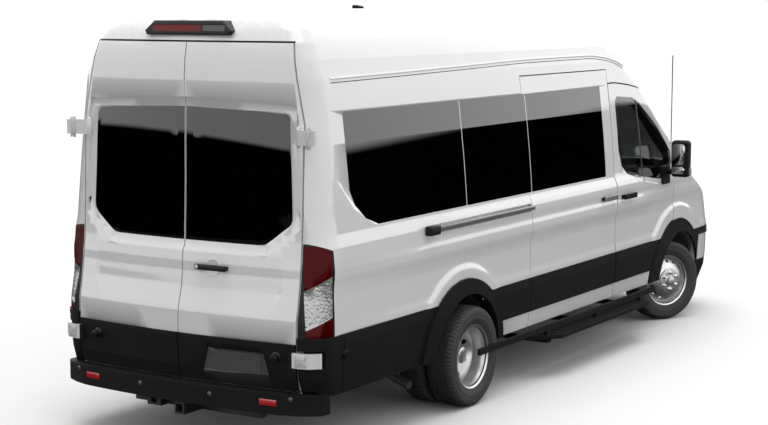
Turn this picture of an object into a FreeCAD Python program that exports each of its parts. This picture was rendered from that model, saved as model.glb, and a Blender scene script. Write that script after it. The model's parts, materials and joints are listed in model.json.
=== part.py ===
import FreeCAD
import Part
import Sketcher
import math
import os
import re

# Full-size long minibus with a tall roof, twin rear wheels and one sliding
# door. X points forward, Y to the left and Z up. The origin is on the ground
# under the middle of the overall length. All sizes are in millimetres.

os.makedirs("parts", exist_ok=True)
document = FreeCAD.newDocument("Minibus")
sheet = document.addObject("Spreadsheet::Sheet", "Sizes")

sizes = {
    # whole vehicle
    "overallLength": 6704,
    "bodyHeight": 2700,
    "bodyWidth": 2058,
    "wheelbase": 3750,
    "frontOverhang": 1023,
    "wallThickness": 60,
    "roofThickness": 50,
    "skinThickness": 10,
    "glassThickness": 6,
    "glassDrop": 4,
    "glassRim": 38,
    "panelGap": 8,
    "doorGap": 11,
    "centreGap": 8,
    "panelReach": 1400,
    # lower edge and cladding
    "sillBottom": 403,
    "claddingBottom": 515,
    "claddingTop": 765,
    "rearCladdingTop": 724,
    "claddingStandoff": 9,
    "claddingDepth": 8,
    # wheel arches
    "wheelHeight": 346,
    "archRadius": 430,
    "rearArchRadius": 440,
    "rearArchSetback": 59,
    "housingThickness": 8,
    "flareHeight": 340,
    "flareGap": 16,
    "frontFlareRadius": 560,
    "frontFlareSetback": 89,
    "rearFlareRadius": 556,
    "rearFlareSetback": 104,
    "rearFlareStandoff": 34,
    "frontHousingInner": 505,
    "rearHousingInner": 560,
    # hood and windshield
    "hoodSideRear": 850,
    "hoodSideFront": 760,
    "hoodLip": 1035,
    "cowlFront": 2705,
    "cowlBow": 150,
    "hoodTop": 1330,
    "windshieldFoot": 1345,
    "windshieldHead": 2075,
    "windshieldFootHalf": 905,
    "windshieldHeadHalf": 812,
    # front end
    "bumperTop": 700,
    "bumperRear": 2740,
    "grilleTop": 985,
    "grilleBottom": 735,
    "grilleHalf": 470,
    "lampInner": 500,
    "lampTop": 1055,
    "lampBottom": 770,
    "lampRear": 2960,
    "intakeTop": 560,
    "intakeBottom": 420,
    "intakeHalf": 520,
    # front doors
    "frontDoorRear": 960,
    "frontDoorWidth": 1225,
    "frontDoorHeight": 1701,
    "frontWindowRear": 1059,
    "frontWindowWidth": 1081,
    "frontWindowFoot": 1237,
    "frontWindowHeight": 764,
    # sliding door
    "slidingRear": -530,
    "slidingFront": 945,
    "slidingTop": 2215,
    # side windows
    "sideWindowFoot": 1384,
    "sideWindowHead": 2090,
    "sideWindowFront": 795,
    "sideWindowRear": -2870,
    "sideDividerRear": -1450,
    "sideDividerFront": -488,
    "dividerGap": 8,
    # roof
    "gutterRear": 2298,
    "gutterMiddle": 2333,
    "gutterFront": 2259,
    "gutterFrontX": 1247,
    "headerX": 1330,
    "headerHeight": 2095,
    # rear doors
    "rearDoorFoot": 437,
    "rearDoorHalf": 846,
    "rearDoorShoulder": 2023,
    "rearDoorHead": 2501,
    "rearDoorHeadHalf": 751,
    "rearDoorDepth": 3000,
    "rearGlassFoot": 1292,
    "rearGlassHead": 2112,
    "rearGlassCrown": 32,
    "rearGlassHalf": 775,
    "rearGlassHeadHalf": 748,
    "rearGlassFootHalf": 588,
    "rearGlassInner": 6,
    "rearGlassSlope": 140,
    "rearFrameMargin": 58,
    "rearFrameDepth": 18,
    "rearHingeX": -3200,
    "rearHingeY": 992,
    "rearHingeLow": 633,
    "rearHingeHigh": 1950,
    "rearHingeHalf": 45,
    "strapReach": 152,
    "strapDrop": 60,
    "rearPinRadius": 9,
    "hingeNotchDepth": 40,
    # floor
    "floorTop": 680,
    "floorThickness": 40,
    "floorFront": 2290,
    "floorRear": 3140,
    "bulkheadTop": 1240,
    "bulkheadThickness": 30,
    # lamps
    "tailLampFoot": 745,
    "tailLampHead": 1320,
    "tailLampFront": -3085,
    "tailLampEdge": 858,
    "tailLampDepth": 45,
    "brakeLampHalf": 335,
    "brakeLampFoot": 2546,
    "brakeLampHead": 2622,
    "brakeLampFront": -3020,
    "brakeLampRear": -3135,
    # rear bumper
    "bumperRearFace": 3352,
    "bumperFoot": 300,
    "bumperStep": 422,
    "bumperBow": 75,
    "bumperHalf": 1000,
    "bumperFront": 3110,
    "postTop": 735,
    "postInner": 858,
    "postStandoff": 6,
    "postFront": 2995,
    # running boards
    "boardInner": 1000,
    "boardOuter": 1174,
    "boardRear": -520,
    "boardFront": 1500,
    "boardSlant": 210,
    "boardTop": 324,
    "boardThickness": 28,
    "boardGrooveDepth": 5,
    "barInner": 1062,
    "barOuter": 1082,
    "barRear": -1400,
    "barFront": 1640,
    "barFoot": 352,
    "barTop": 395,
    "boardBracketLength": 60,
    "boardBracketHeight": 30,
    "boardBracketInner": 430,
    # slide rail
    "slideRear": -1985,
    "slideFront": -545,
    "slideHeight": 1280,
    "slideStandoff": 8,
    "slideBand": 56,
    "slideSlot": 24,
    # handles
    "handleLength": 240,
    "handleBand": 42,
    "handleStandoff": 42,
    "handleThickness": 16,
    "slidingHandleX": 775,
    "slidingHandleZ": 1220,
    "frontHandleX": 1150,
    "frontHandleZ": 1200,
    # mirrors
    "mirrorInner": 1085,
    "mirrorOuter": 1237,
    "mirrorRear": 1905,
    "mirrorDepth": 105,
    "mirrorFoot": 1290,
    "mirrorHead": 1598,
    "mirrorArmZ": 1330,
    "mirrorArmRadius": 22,
    "mirrorArmX": 1965,
    "mirrorCorner": 30,
    # antennas
    "mastX": 2356,
    "mastY": 905,
    "mastFoot": 1190,
    "mastHead": 2296,
    "mastRadius": 4,
    "finX": -1219,
    "finLength": 150,
    "finWidth": 40,
    "finTop": 2725,
    # wheels and tyres
    "tyreRadius": 346,
    "tyreWidth": 195,
    "tyreShoulder": 24,
    "beadRadius": 204,
    "rimRadius": 220,
    "rimWidth": 150,
    "rimThickness": 8,
    "frontWheelY": 871,
    "kingpinY": 800,
    "rearOuterY": 957,
    "rearInnerY": 732,
    "steerRight": -28,
    "steerLeft": -24,
    "hubRadius": 78,
    "hubBore": 32.05,
    "lugCircle": 90,
    "lugRadius": 11,
    "handHoleRadius": 20,
    "handHoleCircle": 150,
    "discRadius": 152,
    "discThickness": 28,
    "discOffset": 18,
    "spindleRadius": 32,
    "wheelOffset": 112.5,
    "capDepth": 40,
    "lugLength": 26,
    "hubInner": 150,
    "hubOuter": 120,
    "axleTubeHalf": 640,
    "seatGap": 0.3,
    "ballHalf": 20,
    "ballReach": 812,
    "ballThickness": 18,
    "postWidth": 70,
    "mountLength": 110,
    "mountInner": 200,
    "hangerRadius": 6,
    "hangerFront": 500,
    "hangerRear": -900,
    "carrierHalf": 40,
    "carrierThickness": 40,
    "carrierPlateRadius": 110,
    "carrierPlateThickness": 12,
    "carrierPostRadius": 20,
    "trayFront": 2572,
    "trayThickness": 12,
    "trayHalf": 850,
    "hoodThickness": 22,
    "hoodPinX": 2560,
    "hoodPinZ": 1272,
    "hoodPinRadius": 6,
    "hoodPinClearance": 0.05,
    "hoodArmY": 690,
    "hoodArmWidth": 24,
    "hoodArmLength": 160,
    "hoodArmHalf": 11,
    "hoodArmSlot": 6,
    "hoodBracketHalf": 22,
    "pinionRadius": 60,
    "pinionLength": 90,
    "postRadius": 30,
    "postHeight": 226,
    "steeringArmLength": 170,
    "steeringArmHeight": 24,
    "caliperGap": 6,
    "armInner": 350,
    "armOuter": 735,
    "strutY": 672,
    "strutFoot": 270,
    "coilRadius": 48,
    "coilLength": 220,
    "exhaustRise": 300,
    "exhaustOver": 455,
    "exhaustOut": 790,
    "exhaustTip": 200,
    "hitchPlateLength": 120,
    "doorInner": 862,
    # running gear
    "railHalf": 430,
    "railWidth": 70,
    "railFoot": 500,
    "railTop": 640,
    "chassisFront": 3130,
    "chassisRear": -3080,
    "crossLength": 80,
    "crossFoot": 520,
    "axleTube": 46,
    "differentialRadius": 165,
    "springHalf": 700,
    "springWidth": 70,
    "springThickness": 12,
    "springY": 465,
    "springDrop": 30,
    "springHangerLength": 60,
    "shaftRadius": 38,
    "engineLength": 640,
    "engineWidth": 560,
    "engineFoot": 420,
    "engineHeight": 560,
    "engineRear": 2380,
    "gearboxLength": 760,
    "gearboxRadius": 110,
    "driveHeight": 450,
    "armWidth": 70,
    "armHeight": 40,
    "armFoot": 215,
    "subframeHalf": 500,
    "subframeLength": 420,
    "subframeFoot": 290,
    "subframeHeight": 44,
    "strutRadius": 25,
    "tankLength": 1100,
    "tankWidth": 330,
    "tankHeight": 165,
    "tankRear": -300,
    "tankFoot": 354.7,
    "tankY": 235,
    "tankCorner": 40,
    "exhaustRadius": 30,
    "mufflerRadius": 105,
    "mufflerLength": 620,
    "mufflerX": 150,
    "exhaustY": 290,
    "exhaustHeight": 350,
    "exhaustFront": 2080,
    "exhaustRear": -1850,
    "spareX": -2560,
    "spareHeight": 245,
    # hitch
    "receiverFoot": 205,
    "receiverSize": 76,
    "receiverBore": 51,
    "receiverFront": -3060,
    "receiverRear": -3300,
    "hitchBarHalf": 500,
    "plugBoxInner": 235,
    "plugBoxOuter": 345,
    "plugBoxLength": 70,
    "plugBoxHeight": 84,
    "plugSocketRadius": 30,
    "hitchBarLength": 64,
    "pinX": -3235,
    "pinRadius": 8,
    "hitchPlateThickness": 12,
    # cabin
    "cabSeatX": 1180,
    "cabSeatY": 470,
    "seatWidth": 500,
    "seatLength": 480,
    "seatHeight": 130,
    "seatTop": 1130,
    "backHeight": 760,
    "backThickness": 120,
    "benchFirstX": -50,
    "benchPitch": 840,
    "benchWidth": 1380,
    "benchY": 110,
    "benchTop": 1080,
    "seatBaseInset": 50,
    "dashRear": 1960,
    "dashFoot": 1010,
    "dashHead": 1330,
    "dashHalf": 820,
    "dashCorner": 70,
    "steeringX": 1830,
    "steeringY": 470,
    "steeringZ": 1240,
    "steeringRadius": 190,
    "steeringGrip": 16,
    "steeringTilt": 60,
    "columnRadius": 28,
    "columnLength": 330,
}
for number, name in enumerate(sizes):
    sheet.set("A%d" % (number + 1), name)
    sheet.set("B%d" % (number + 1), str(sizes[name]))
    sheet.setAlias("B%d" % (number + 1), name)
document.recompute()


class Named:
    pass


S = Named()
for name in sizes:
    setattr(S, name, float(sheet.get(name)))

halfLength = S.overallLength / 2
halfWidth = S.bodyWidth / 2
frontAxle = halfLength - S.frontOverhang
rearAxle = frontAxle - S.wheelbase
V = FreeCAD.Vector
across = V(0, 1, 0)
up = V(0, 0, 1)
forward = V(1, 0, 0)

# Body outline at rising heights: height, nose, tail, half width, nose corner
# and tail corner, as shares of the body height, the half length and the half
# width. The nose and the tail are bowed in plan.
noseBowShare = 0.146
tailBowShare = 0.078
lowerShares = (
    (0.093, 0.976, 0.967, 0.938, 0.41, 0.13),
    (0.148, 0.997, 0.973, 0.972, 0.41, 0.15),
    (0.193, 1.000, 0.981, 0.982, 0.41, 0.15),
    (0.259, 0.996, 0.985, 0.991, 0.41, 0.15),
    (0.319, 0.987, 0.984, 0.989, 0.41, 0.15),
    (0.370, 0.973, 0.976, 0.987, 0.40, 0.15),
    (0.396, 0.959, 0.973, 0.991, 0.39, 0.15),
    (0.411, 0.937, 0.971, 0.997, 0.37, 0.15),
    (0.430, 0.901, 0.970, 1.000, 0.32, 0.15),
    (0.452, 0.856, 0.967, 0.998, 0.25, 0.15),
    (0.478, 0.805, 0.966, 0.993, 0.16, 0.15),
)
upperShares = (
    (0.478, 0.803, 0.966, 0.993, 0.12, 0.15),
    (0.491, 0.785, 0.965, 0.985, 0.11, 0.15),
    (0.507, 0.767, 0.965, 0.974, 0.10, 0.15),
    (0.556, 0.719, 0.963, 0.965, 0.10, 0.15),
    (0.630, 0.648, 0.961, 0.948, 0.10, 0.15),
    (0.704, 0.577, 0.960, 0.927, 0.10, 0.15),
    (0.778, 0.504, 0.958, 0.904, 0.11, 0.15),
    (0.844, 0.430, 0.956, 0.879, 0.13, 0.14),
    (0.889, 0.370, 0.953, 0.846, 0.16, 0.13),
    (0.926, 0.307, 0.947, 0.807, 0.19, 0.13),
    (0.956, 0.242, 0.935, 0.753, 0.22, 0.13),
    (0.978, 0.167, 0.916, 0.680, 0.25, 0.15),
    (0.991, 0.085, 0.885, 0.585, 0.25, 0.15),
    (1.000, -0.060, 0.810, 0.400, 0.20, 0.15),
)


def bowedEnd(edge, bow, side, corner, half):
    # the corner circle lies inside the bowed end and touches the body side
    radius = (half * half + bow * bow) / (2 * bow)
    middle = edge - side * radius
    cornerY = half - corner
    reach = radius - corner
    cornerX = middle + side * math.sqrt(reach * reach - cornerY * cornerY)
    stretch = radius / reach
    touch = (middle + (cornerX - middle) * stretch, cornerY * stretch)
    turn = math.atan2(cornerY, abs(cornerX - middle)) / 2 + math.pi / 4
    halfway = (cornerX + side * corner * math.cos(turn),
               cornerY + corner * math.sin(turn))
    sweep = math.asin(touch[1] / radius) / 2
    between = (middle + side * radius * math.cos(sweep), radius * math.sin(sweep))
    return cornerX, touch, halfway, between


def planWire(share, inset):
    # right half of one level, closed along the middle of the body
    z = share[0] * S.bodyHeight
    nose = share[1] * halfLength - inset
    tail = -share[2] * halfLength + inset
    half = share[3] * halfWidth - inset
    smallest = S.wallThickness / 3
    noseCorner = max(share[4] * halfWidth - inset, smallest)
    tailCorner = max(share[5] * halfWidth - inset, smallest)
    noseX, noseTouch, noseHalfway, noseMiddle = bowedEnd(
        nose, noseBowShare * half, 1, noseCorner, half)
    tailX, tailTouch, tailHalfway, tailMiddle = bowedEnd(
        tail, tailBowShare * half, -1, tailCorner, half)
    track = [(nose, 0), noseMiddle, noseTouch, noseHalfway, (noseX, half),
             (tailX, half), tailHalfway, tailTouch, tailMiddle, (tail, 0)]
    track = [V(x, -y, z) for x, y in track]
    edges = [
        Part.Arc(track[0], track[1], track[2]),
        Part.Arc(track[2], track[3], track[4]),
        Part.LineSegment(track[4], track[5]),
        Part.Arc(track[5], track[6], track[7]),
        Part.Arc(track[7], track[8], track[9]),
        Part.LineSegment(track[9], track[0]),
    ]
    return Part.Wire([edge.toShape() for edge in edges])


def envelope(inset, drop):
    lower = Part.makeLoft([planWire(share, inset) for share in lowerShares], True, True)
    upper = Part.makeLoft([planWire(share, inset) for share in upperShares], True, True)
    whole = lower.fuse(upper)
    whole.translate(V(0, 0, -drop))
    return whole


def block(x0, x1, y0, y1, z0, z1):
    return Part.makeBox(x1 - x0, y1 - y0, z1 - z0, V(x0, y0, z0))


def sidePrism(points, y0, y1):
    corners = [V(x, y0, z) for x, z in points]
    return Part.Face(Part.makePolygon(corners + corners[:1])).extrude(V(0, y1 - y0, 0))


def endPrism(points, x0, x1):
    corners = [V(x0, y, z) for y, z in points]
    return Part.Face(Part.makePolygon(corners + corners[:1])).extrude(V(x1 - x0, 0, 0))


def planPrism(points, z0, z1):
    corners = [V(x, y, z0) for x, y in points]
    return Part.Face(Part.makePolygon(corners + corners[:1])).extrude(V(0, 0, z1 - z0))


def crossCylinder(radius, x, z, y0, y1):
    return Part.makeCylinder(radius, y1 - y0, V(x, y0, z), across)


def postCylinder(radius, x, y, z0, z1):
    return Part.makeCylinder(radius, z1 - z0, V(x, y, z0), up)


def mirrored(shape):
    return shape.mirror(V(0, 0, 0), across)


def both(shape):
    return [shape, mirrored(shape)]


def whole(shape):
    return shape.fuse(mirrored(shape)).removeSplitter()


def placed(shares, x, width, z, height):
    return [(x + share[0] * width, z + share[1] * height) for share in shares]


def grown(points, margin):
    # moves each side of a convex or gently waved outline outwards by a margin
    face = Part.Face(Part.makePolygon([V(x, 0, z) for x, z in points + points[:1]]))
    wire = face.makeOffset2D(margin, 2).OuterWire
    return [(vertex.Point.x, vertex.Point.z) for vertex in wire.OrderedVertexes]


nodes = []


def keep(name, pieces):
    if not isinstance(pieces, list):
        pieces = [pieces]
    solids = []
    for piece in pieces:
        solids.extend(piece.Solids)
    feature = document.addObject("Part::Feature", name)
    feature.Label = name
    feature.Shape = solids[0] if len(solids) == 1 else Part.makeCompound(solids)
    nodes.append(feature)
    return feature


def named(text):
    return re.sub(r"[A-Za-z][A-Za-z0-9]*",
                  lambda word: "Sizes." + word.group(0)
                  if word.group(0) in sizes else word.group(0), text)


def bind(item, bound):
    for key in bound:
        item.setExpression(key, named(bound[key]))
    return item


def at(x, y, z):
    return {"Placement.Base.x": x, "Placement.Base.y": y, "Placement.Base.z": z}


def primitive(kind, name, bound, place, axis=None):
    item = document.addObject("Part::" + kind, name)
    if axis is not None:
        item.Placement = FreeCAD.Placement(V(0, 0, 0), FreeCAD.Rotation(up, axis))
    bind(item, bound)
    bind(item, place)
    return item


def brick(name, x0, x1, y0, y1, z0, z1):
    return primitive("Box", name, {"Length": "(%s) - (%s)" % (x1, x0),
                                   "Width": "(%s) - (%s)" % (y1, y0),
                                   "Height": "(%s) - (%s)" % (z1, z0)},
                     at(x0, y0, z0))


def rod(name, radius, length, x, y, z, axis):
    return primitive("Cylinder", name, {"Radius": radius, "Height": length},
                     at(x, y, z), axis)


def joined(name, items):
    item = document.addObject("Part::MultiFuse", name)
    item.Shapes = items
    return item


def cutFrom(name, base, tool):
    item = document.addObject("Part::Cut", name)
    item.Base = base
    item.Tool = tool
    return item


def grouped(name, items):
    item = document.addObject("Part::Compound", name)
    item.Links = items
    item.Label = name
    nodes.append(item)
    return item


def node(item, name):
    item.Label = name
    nodes.append(item)
    return item


frontX = "overallLength / 2 - frontOverhang"
rearX = "overallLength / 2 - frontOverhang - wheelbase"

# Body shell. Everything here is made on the right, where Y is negative, and
# mirrored where the left side is alike.
reach = S.panelReach
fullRear = -2 * halfLength
fullFront = 2 * halfLength
outer = envelope(0, 0)
room = envelope(S.wallThickness, S.roofThickness)
below = block(fullRear, fullFront, -reach, 0, 0, S.sillBottom)
frontArch = crossCylinder(S.archRadius, frontAxle, S.wheelHeight, -reach, 0)
rearArchX = rearAxle - S.rearArchSetback
rearArch = crossCylinder(S.rearArchRadius, rearArchX, S.wheelHeight, -reach, 0)
arches = frontArch.fuse(rearArch)
shell = outer.cut(room.fuse(below)).cut(arches)
glassSkin = outer.cut(envelope(S.glassThickness, S.glassDrop))

# black cladding and flares lie in a shallow recess of the panels. The flares
# are set back behind their axles, and the cladding runs lower at the rear.
frontFlareX = frontAxle - S.frontFlareSetback
rearFlareX = rearAxle - S.rearFlareSetback
frontFlareDisc = crossCylinder(S.frontFlareRadius, frontFlareX, S.flareHeight, -reach, 0)
rearFlareDisc = crossCylinder(S.rearFlareRadius, rearFlareX, S.flareHeight, -reach, 0)
frontFlareReach = block(frontFlareX - S.frontFlareRadius, S.bumperRear, -reach,
                        -halfWidth * 0.8, S.sillBottom, S.bodyHeight)
rearFlareReach = block(rearFlareX - S.rearFlareRadius, rearFlareX + S.rearFlareRadius,
                       -reach, -halfWidth * 0.8, S.sillBottom, S.bodyHeight)
frontFlareZone = frontFlareDisc.common(frontFlareReach).cut(frontArch)
rearFlareZone = rearFlareDisc.common(rearFlareReach).cut(rearArch)
claddingZone = block(fullRear, fullFront, -reach, 0, S.claddingBottom, S.claddingTop)
claddingZone = claddingZone.fuse(block(fullRear, rearFlareX, -reach, 0, S.sillBottom,
                                       S.claddingTop))
claddingZone = claddingZone.cut(frontFlareZone.fuse(rearFlareZone).fuse(arches))
claddingZone = claddingZone.cut(block(fullRear, -halfLength * 0.9, -S.rearDoorHalf, 0,
                                      S.rearCladdingTop, S.bodyHeight))
recessed = envelope(S.claddingDepth, 0)
standing = envelope(-S.claddingStandoff, 0)
trimSkin = standing.cut(recessed)
frontFlares = trimSkin.common(frontFlareZone)
rearFlares = envelope(-S.rearFlareStandoff, 0).common(rearFlareZone).cut(recessed)
keep("wheel_flares", both(frontFlares) + both(rearFlares))
cladding = trimSkin.common(claddingZone)
recess = claddingZone.fuse(frontFlareZone).fuse(rearFlareZone).cut(recessed)
shell = shell.cut(recess)
print("shell ready")

# front doors
frontDoorShares = ((0, -0.02), (0, 1), (0.11, 1), (0.32, 0.985), (0.49, 0.965),
                   (0.57, 0.93), (0.74, 0.83), (0.91, 0.71), (1, 0.64), (1, 0.6),
                   (0.957, 0.51), (0.957, -0.02))
frontWindowShares = ((0, 0.44), (0.04, 0.27), (0.13, 0.18), (0.42, 0.06),
                     (0.71, 0), (0.93, 0.04), (0.99, 0.21), (0.97, 0.34),
                     (0.9, 0.44), (0.71, 0.66), (0.43, 0.91), (0.32, 0.97),
                     (0.04, 1), (0, 0.95))
frontDoorOutline = placed(frontDoorShares, S.frontDoorRear, S.frontDoorWidth,
                          S.sillBottom, S.frontDoorHeight)
frontWindow = placed(frontWindowShares, S.frontWindowRear, S.frontWindowWidth,
                     S.frontWindowFoot, S.frontWindowHeight)
frontDoorZone = sidePrism(frontDoorOutline, -reach, -S.doorInner).cut(
    crossCylinder(S.frontFlareRadius + S.flareGap, frontFlareX, S.flareHeight, -reach, 0))
frontDoorHole = sidePrism(grown(frontDoorOutline, S.doorGap), -reach,
                          -S.doorInner + S.doorGap)
frontDoor = shell.common(frontDoorZone)
frontDoorGlass = glassSkin.common(sidePrism(frontWindow, -reach, 0))
frontDoor = frontDoor.cut(frontDoorGlass).cut(
    sidePrism(grown(frontWindow, -S.glassRim), -reach, 0))
frontDoorTrim = cladding.common(frontDoorZone)
keep("front_door_right", frontDoor)
keep("front_door_left", mirrored(frontDoor))
keep("front_door_glass_right", frontDoorGlass)
keep("front_door_glass_left", mirrored(frontDoorGlass))
shell = shell.cut(frontDoorHole)
cladding = cladding.cut(frontDoorHole)
print("front doors ready")


def handle(x, z):
    # a grip that stands off the panel on two feet, on the right side
    face = -halfWidth
    grip = block(x - S.handleLength / 2, x + S.handleLength / 2,
                 face - S.handleStandoff, face - S.handleStandoff + S.handleThickness,
                 z - S.handleBand / 2, z + S.handleBand / 2)
    grip = grip.makeFillet(S.handleThickness * 0.45, grip.Edges)
    for side in (-1, 1):
        middle = x + side * (S.handleLength / 2 - S.handleBand / 2)
        foot = block(middle - S.handleBand / 4, middle + S.handleBand / 4,
                     face - S.handleStandoff + S.handleThickness / 2, face * 0.97,
                     z - S.handleBand / 3, z + S.handleBand / 3)
        grip = grip.fuse(foot)
    return grip.cut(outer)


def mirror():
    box = block(S.mirrorRear, S.mirrorRear + S.mirrorDepth, -S.mirrorOuter,
                -S.mirrorInner, S.mirrorFoot, S.mirrorHead)
    box = box.makeFillet(S.mirrorCorner, box.Edges)
    arm = Part.makeCylinder(S.mirrorArmRadius, S.mirrorOuter - halfWidth * 0.95,
                            V(S.mirrorArmX, -S.mirrorOuter + S.mirrorCorner * 2,
                              S.mirrorArmZ), across)
    base = block(S.mirrorArmX - S.mirrorDepth, S.mirrorArmX + S.mirrorDepth * 0.6,
                 -halfWidth - S.claddingStandoff, -halfWidth * 0.93,
                 S.mirrorArmZ - S.mirrorDepth, S.mirrorArmZ + S.mirrorDepth * 0.45)
    return box.fuse(arm).fuse(base).cut(outer)


frontTrim = [frontDoorTrim, handle(S.frontHandleX, S.frontHandleZ), mirror()]
keep("front_door_trim_right", frontTrim)
keep("front_door_trim_left", [mirrored(piece) for piece in frontTrim])

# rear doors
halfGap = S.centreGap / 2
rearShape = [(-halfGap, S.rearDoorFoot), (-S.rearDoorHalf, S.rearDoorFoot),
             (-S.rearDoorHalf, S.rearDoorShoulder),
             (-S.rearDoorHeadHalf, S.rearDoorHead), (-halfGap, S.rearDoorHead)]
rearCorner = S.rearGlassHead - S.rearGlassCrown
rearPane = [(-S.rearGlassInner, S.rearGlassFoot), (-S.rearGlassFootHalf, S.rearGlassFoot),
            (-S.rearGlassHalf, S.rearGlassFoot + S.rearGlassSlope),
            (-S.rearGlassHeadHalf, rearCorner),
            (-S.rearGlassHeadHalf * 0.75, rearCorner + S.rearGlassCrown * 0.45),
            (-S.rearGlassInner, S.rearGlassHead)]
rearZone = endPrism(rearShape, fullRear, -S.rearDoorDepth)
rearHole = endPrism(grown(rearShape, S.doorGap), fullRear, -S.rearDoorDepth)
rearHole = rearHole.fuse(block(fullRear, -S.rearDoorDepth, -halfGap * 3, 0,
                               S.rearDoorFoot - S.doorGap, S.rearDoorHead + S.doorGap))
rearDoor = shell.common(rearZone)
rearDoorTrim = cladding.common(rearZone)
frameFloor = envelope(S.rearFrameDepth, 0)
frameZone = endPrism(grown(rearPane, S.rearFrameMargin), fullRear, -S.rearDoorDepth)
rearDoor = rearDoor.cut(frameZone.cut(frameFloor))
rearGlass = frameFloor.cut(envelope(S.rearFrameDepth + S.glassThickness, S.glassDrop))
rearGlass = rearGlass.common(endPrism(rearPane, fullRear, -S.rearDoorDepth))
rearDoor = rearDoor.cut(rearGlass).cut(
    endPrism(grown(rearPane, -S.glassRim), fullRear, -S.rearDoorDepth))
# the lower strap steps round the corner post, the upper one runs straight in
strapShares = (
    (S.rearHingeLow, ((-1.23, 1.2), (-1.23, 0.7), (-0.93, 0.3), (-0.15, 0), (0.15, 0),
                      (-0.63, 0.34), (-0.95, 0.72), (-0.66, 0.93), (-0.66, 1.2))),
    (S.rearHingeHigh, ((0.35, 1.12), (0.1, 0.85), (-0.15, 0), (0.15, 0), (0.55, 0.72),
                       (0.9, 1), (0.95, 1.12))),
)
straps = []
for height, plan in strapShares:
    corners = [(S.rearHingeX + dx * S.strapDrop, -S.rearHingeY + dy * S.strapReach)
               for dx, dy in plan]
    strap = planPrism(corners, height - S.rearHingeHalf, height + S.rearHingeHalf)
    pin = postCylinder(S.rearPinRadius, S.rearHingeX, -S.rearHingeY,
                       height - S.rearHingeHalf, height + S.rearHingeHalf)
    straps.append(strap.fuse(pin))
rearDoorTrim = rearDoorTrim.cut(straps[0])
rearDoor = rearDoor.fuse(straps[0]).fuse(straps[1])
keep("rear_door_right", rearDoor)
keep("rear_door_left", mirrored(rearDoor))
keep("rear_door_trim_right", rearDoorTrim)
keep("rear_door_trim_left", mirrored(rearDoorTrim))
keep("rear_door_glass_right", rearGlass)
keep("rear_door_glass_left", mirrored(rearGlass))
shell = shell.cut(rearHole)
cladding = cladding.cut(rearHole)
print("rear doors ready")

# hood with its bowed rear edge
bowRadius = (halfWidth * halfWidth + S.cowlBow * S.cowlBow) / (2 * S.cowlBow)


def cowlDisc(extra):
    return postCylinder(bowRadius + extra, S.cowlFront - bowRadius, 0,
                        S.floorTop, S.bodyHeight)


def hoodPlan(extra):
    front = halfLength * 1.05
    rear = S.cowlFront - 2 * S.cowlBow
    return planPrism([(rear, -S.hoodSideRear - extra), (front, -S.hoodSideFront - extra),
                      (front, 0), (rear, 0)], S.hoodLip - extra, S.hoodTop)


hood = shell.common(hoodPlan(0)).cut(cowlDisc(S.panelGap)).cut(
    envelope(S.hoodThickness, S.hoodThickness))
shell = shell.cut(hoodPlan(S.panelGap).cut(cowlDisc(0)))
armShares = ((-0.07, -0.07), (-0.07, 0.07), (0.12, 0.07), (0.55, 0), (1, -0.15),
             (1, -0.3), (0.5, -0.18))
armOutline = [(S.hoodPinX + dx * S.hoodArmLength, S.hoodPinZ + dz * S.hoodArmLength)
              for dx, dz in armShares]
arm = sidePrism(armOutline, -S.hoodArmY - S.hoodArmWidth, -S.hoodArmY).common(outer)
armSlot = block(S.hoodPinX - 2 * S.hoodArmHalf, S.cowlFront,
                -S.hoodArmY - S.hoodArmWidth - S.hoodArmSlot, -S.hoodArmY + S.hoodArmSlot,
                S.hoodPinZ - 2 * S.hoodBracketHalf, S.hoodTop)
hingePocket = block(S.hoodPinX - 3 * S.hoodBracketHalf, S.cowlFront,
                    -S.hoodArmY - 3 * S.hoodArmWidth, -S.hoodArmY + S.hoodArmWidth,
                    S.bulkheadTop - 2 * S.trayThickness, S.hoodTop)
hingePocket = hingePocket.common(envelope(S.skinThickness, S.skinThickness))
pin = crossCylinder(S.hoodPinRadius, S.hoodPinX, S.hoodPinZ,
                    -S.hoodArmY - 2 * S.hoodArmWidth, -S.hoodArmY)
keep("hood", whole(hood.fuse(arm).fuse(pin)))
print("hood ready")

# windshield
windshieldOutline = [(0, S.windshieldFoot), (-S.windshieldFootHalf, S.windshieldFoot),
                     (-S.windshieldHeadHalf, S.windshieldHead), (0, S.windshieldHead)]
windshieldInner = [(0, S.windshieldFoot + S.glassRim),
                   (-S.windshieldFootHalf + S.glassRim, S.windshieldFoot + S.glassRim),
                   (-S.windshieldHeadHalf + S.glassRim, S.windshieldHead - S.glassRim),
                   (0, S.windshieldHead - S.glassRim)]
windshield = glassSkin.common(endPrism(windshieldOutline, S.headerX, halfLength))
shell = shell.cut(windshield).cut(endPrism(windshieldInner, S.headerX, halfLength))
keep("windshield", whole(windshield))

# side windows: one flush band per side, split at its dividers
chamferShares = ((0.0, 0.33), (0.013, 0.2), (0.044, 0.07), (0.082, 0.0))
bandWidth = S.sideWindowFront - S.sideWindowRear
bandHeight = S.sideWindowHead - S.sideWindowFoot
band = placed(chamferShares, S.sideWindowRear, bandWidth, S.sideWindowFoot, bandHeight)
band = band + [(S.sideWindowFront, S.sideWindowFoot), (S.sideWindowFront, S.sideWindowHead),
               (S.sideWindowRear + S.glassRim / 2, S.sideWindowHead),
               (S.sideWindowRear, S.sideWindowHead - S.glassRim / 2)]
bandGlass = glassSkin.common(sidePrism(band, -reach, 0))
openings = sidePrism(grown(band, -S.glassRim), -reach, 0)
for divider in (S.sideDividerRear, S.sideDividerFront):
    bandGlass = bandGlass.cut(block(divider - S.dividerGap / 2, divider + S.dividerGap / 2,
                                    -reach, 0, 0, S.bodyHeight))
    openings = openings.cut(block(divider - S.glassRim, divider + S.glassRim,
                                  -reach, 0, 0, S.bodyHeight))
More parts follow.
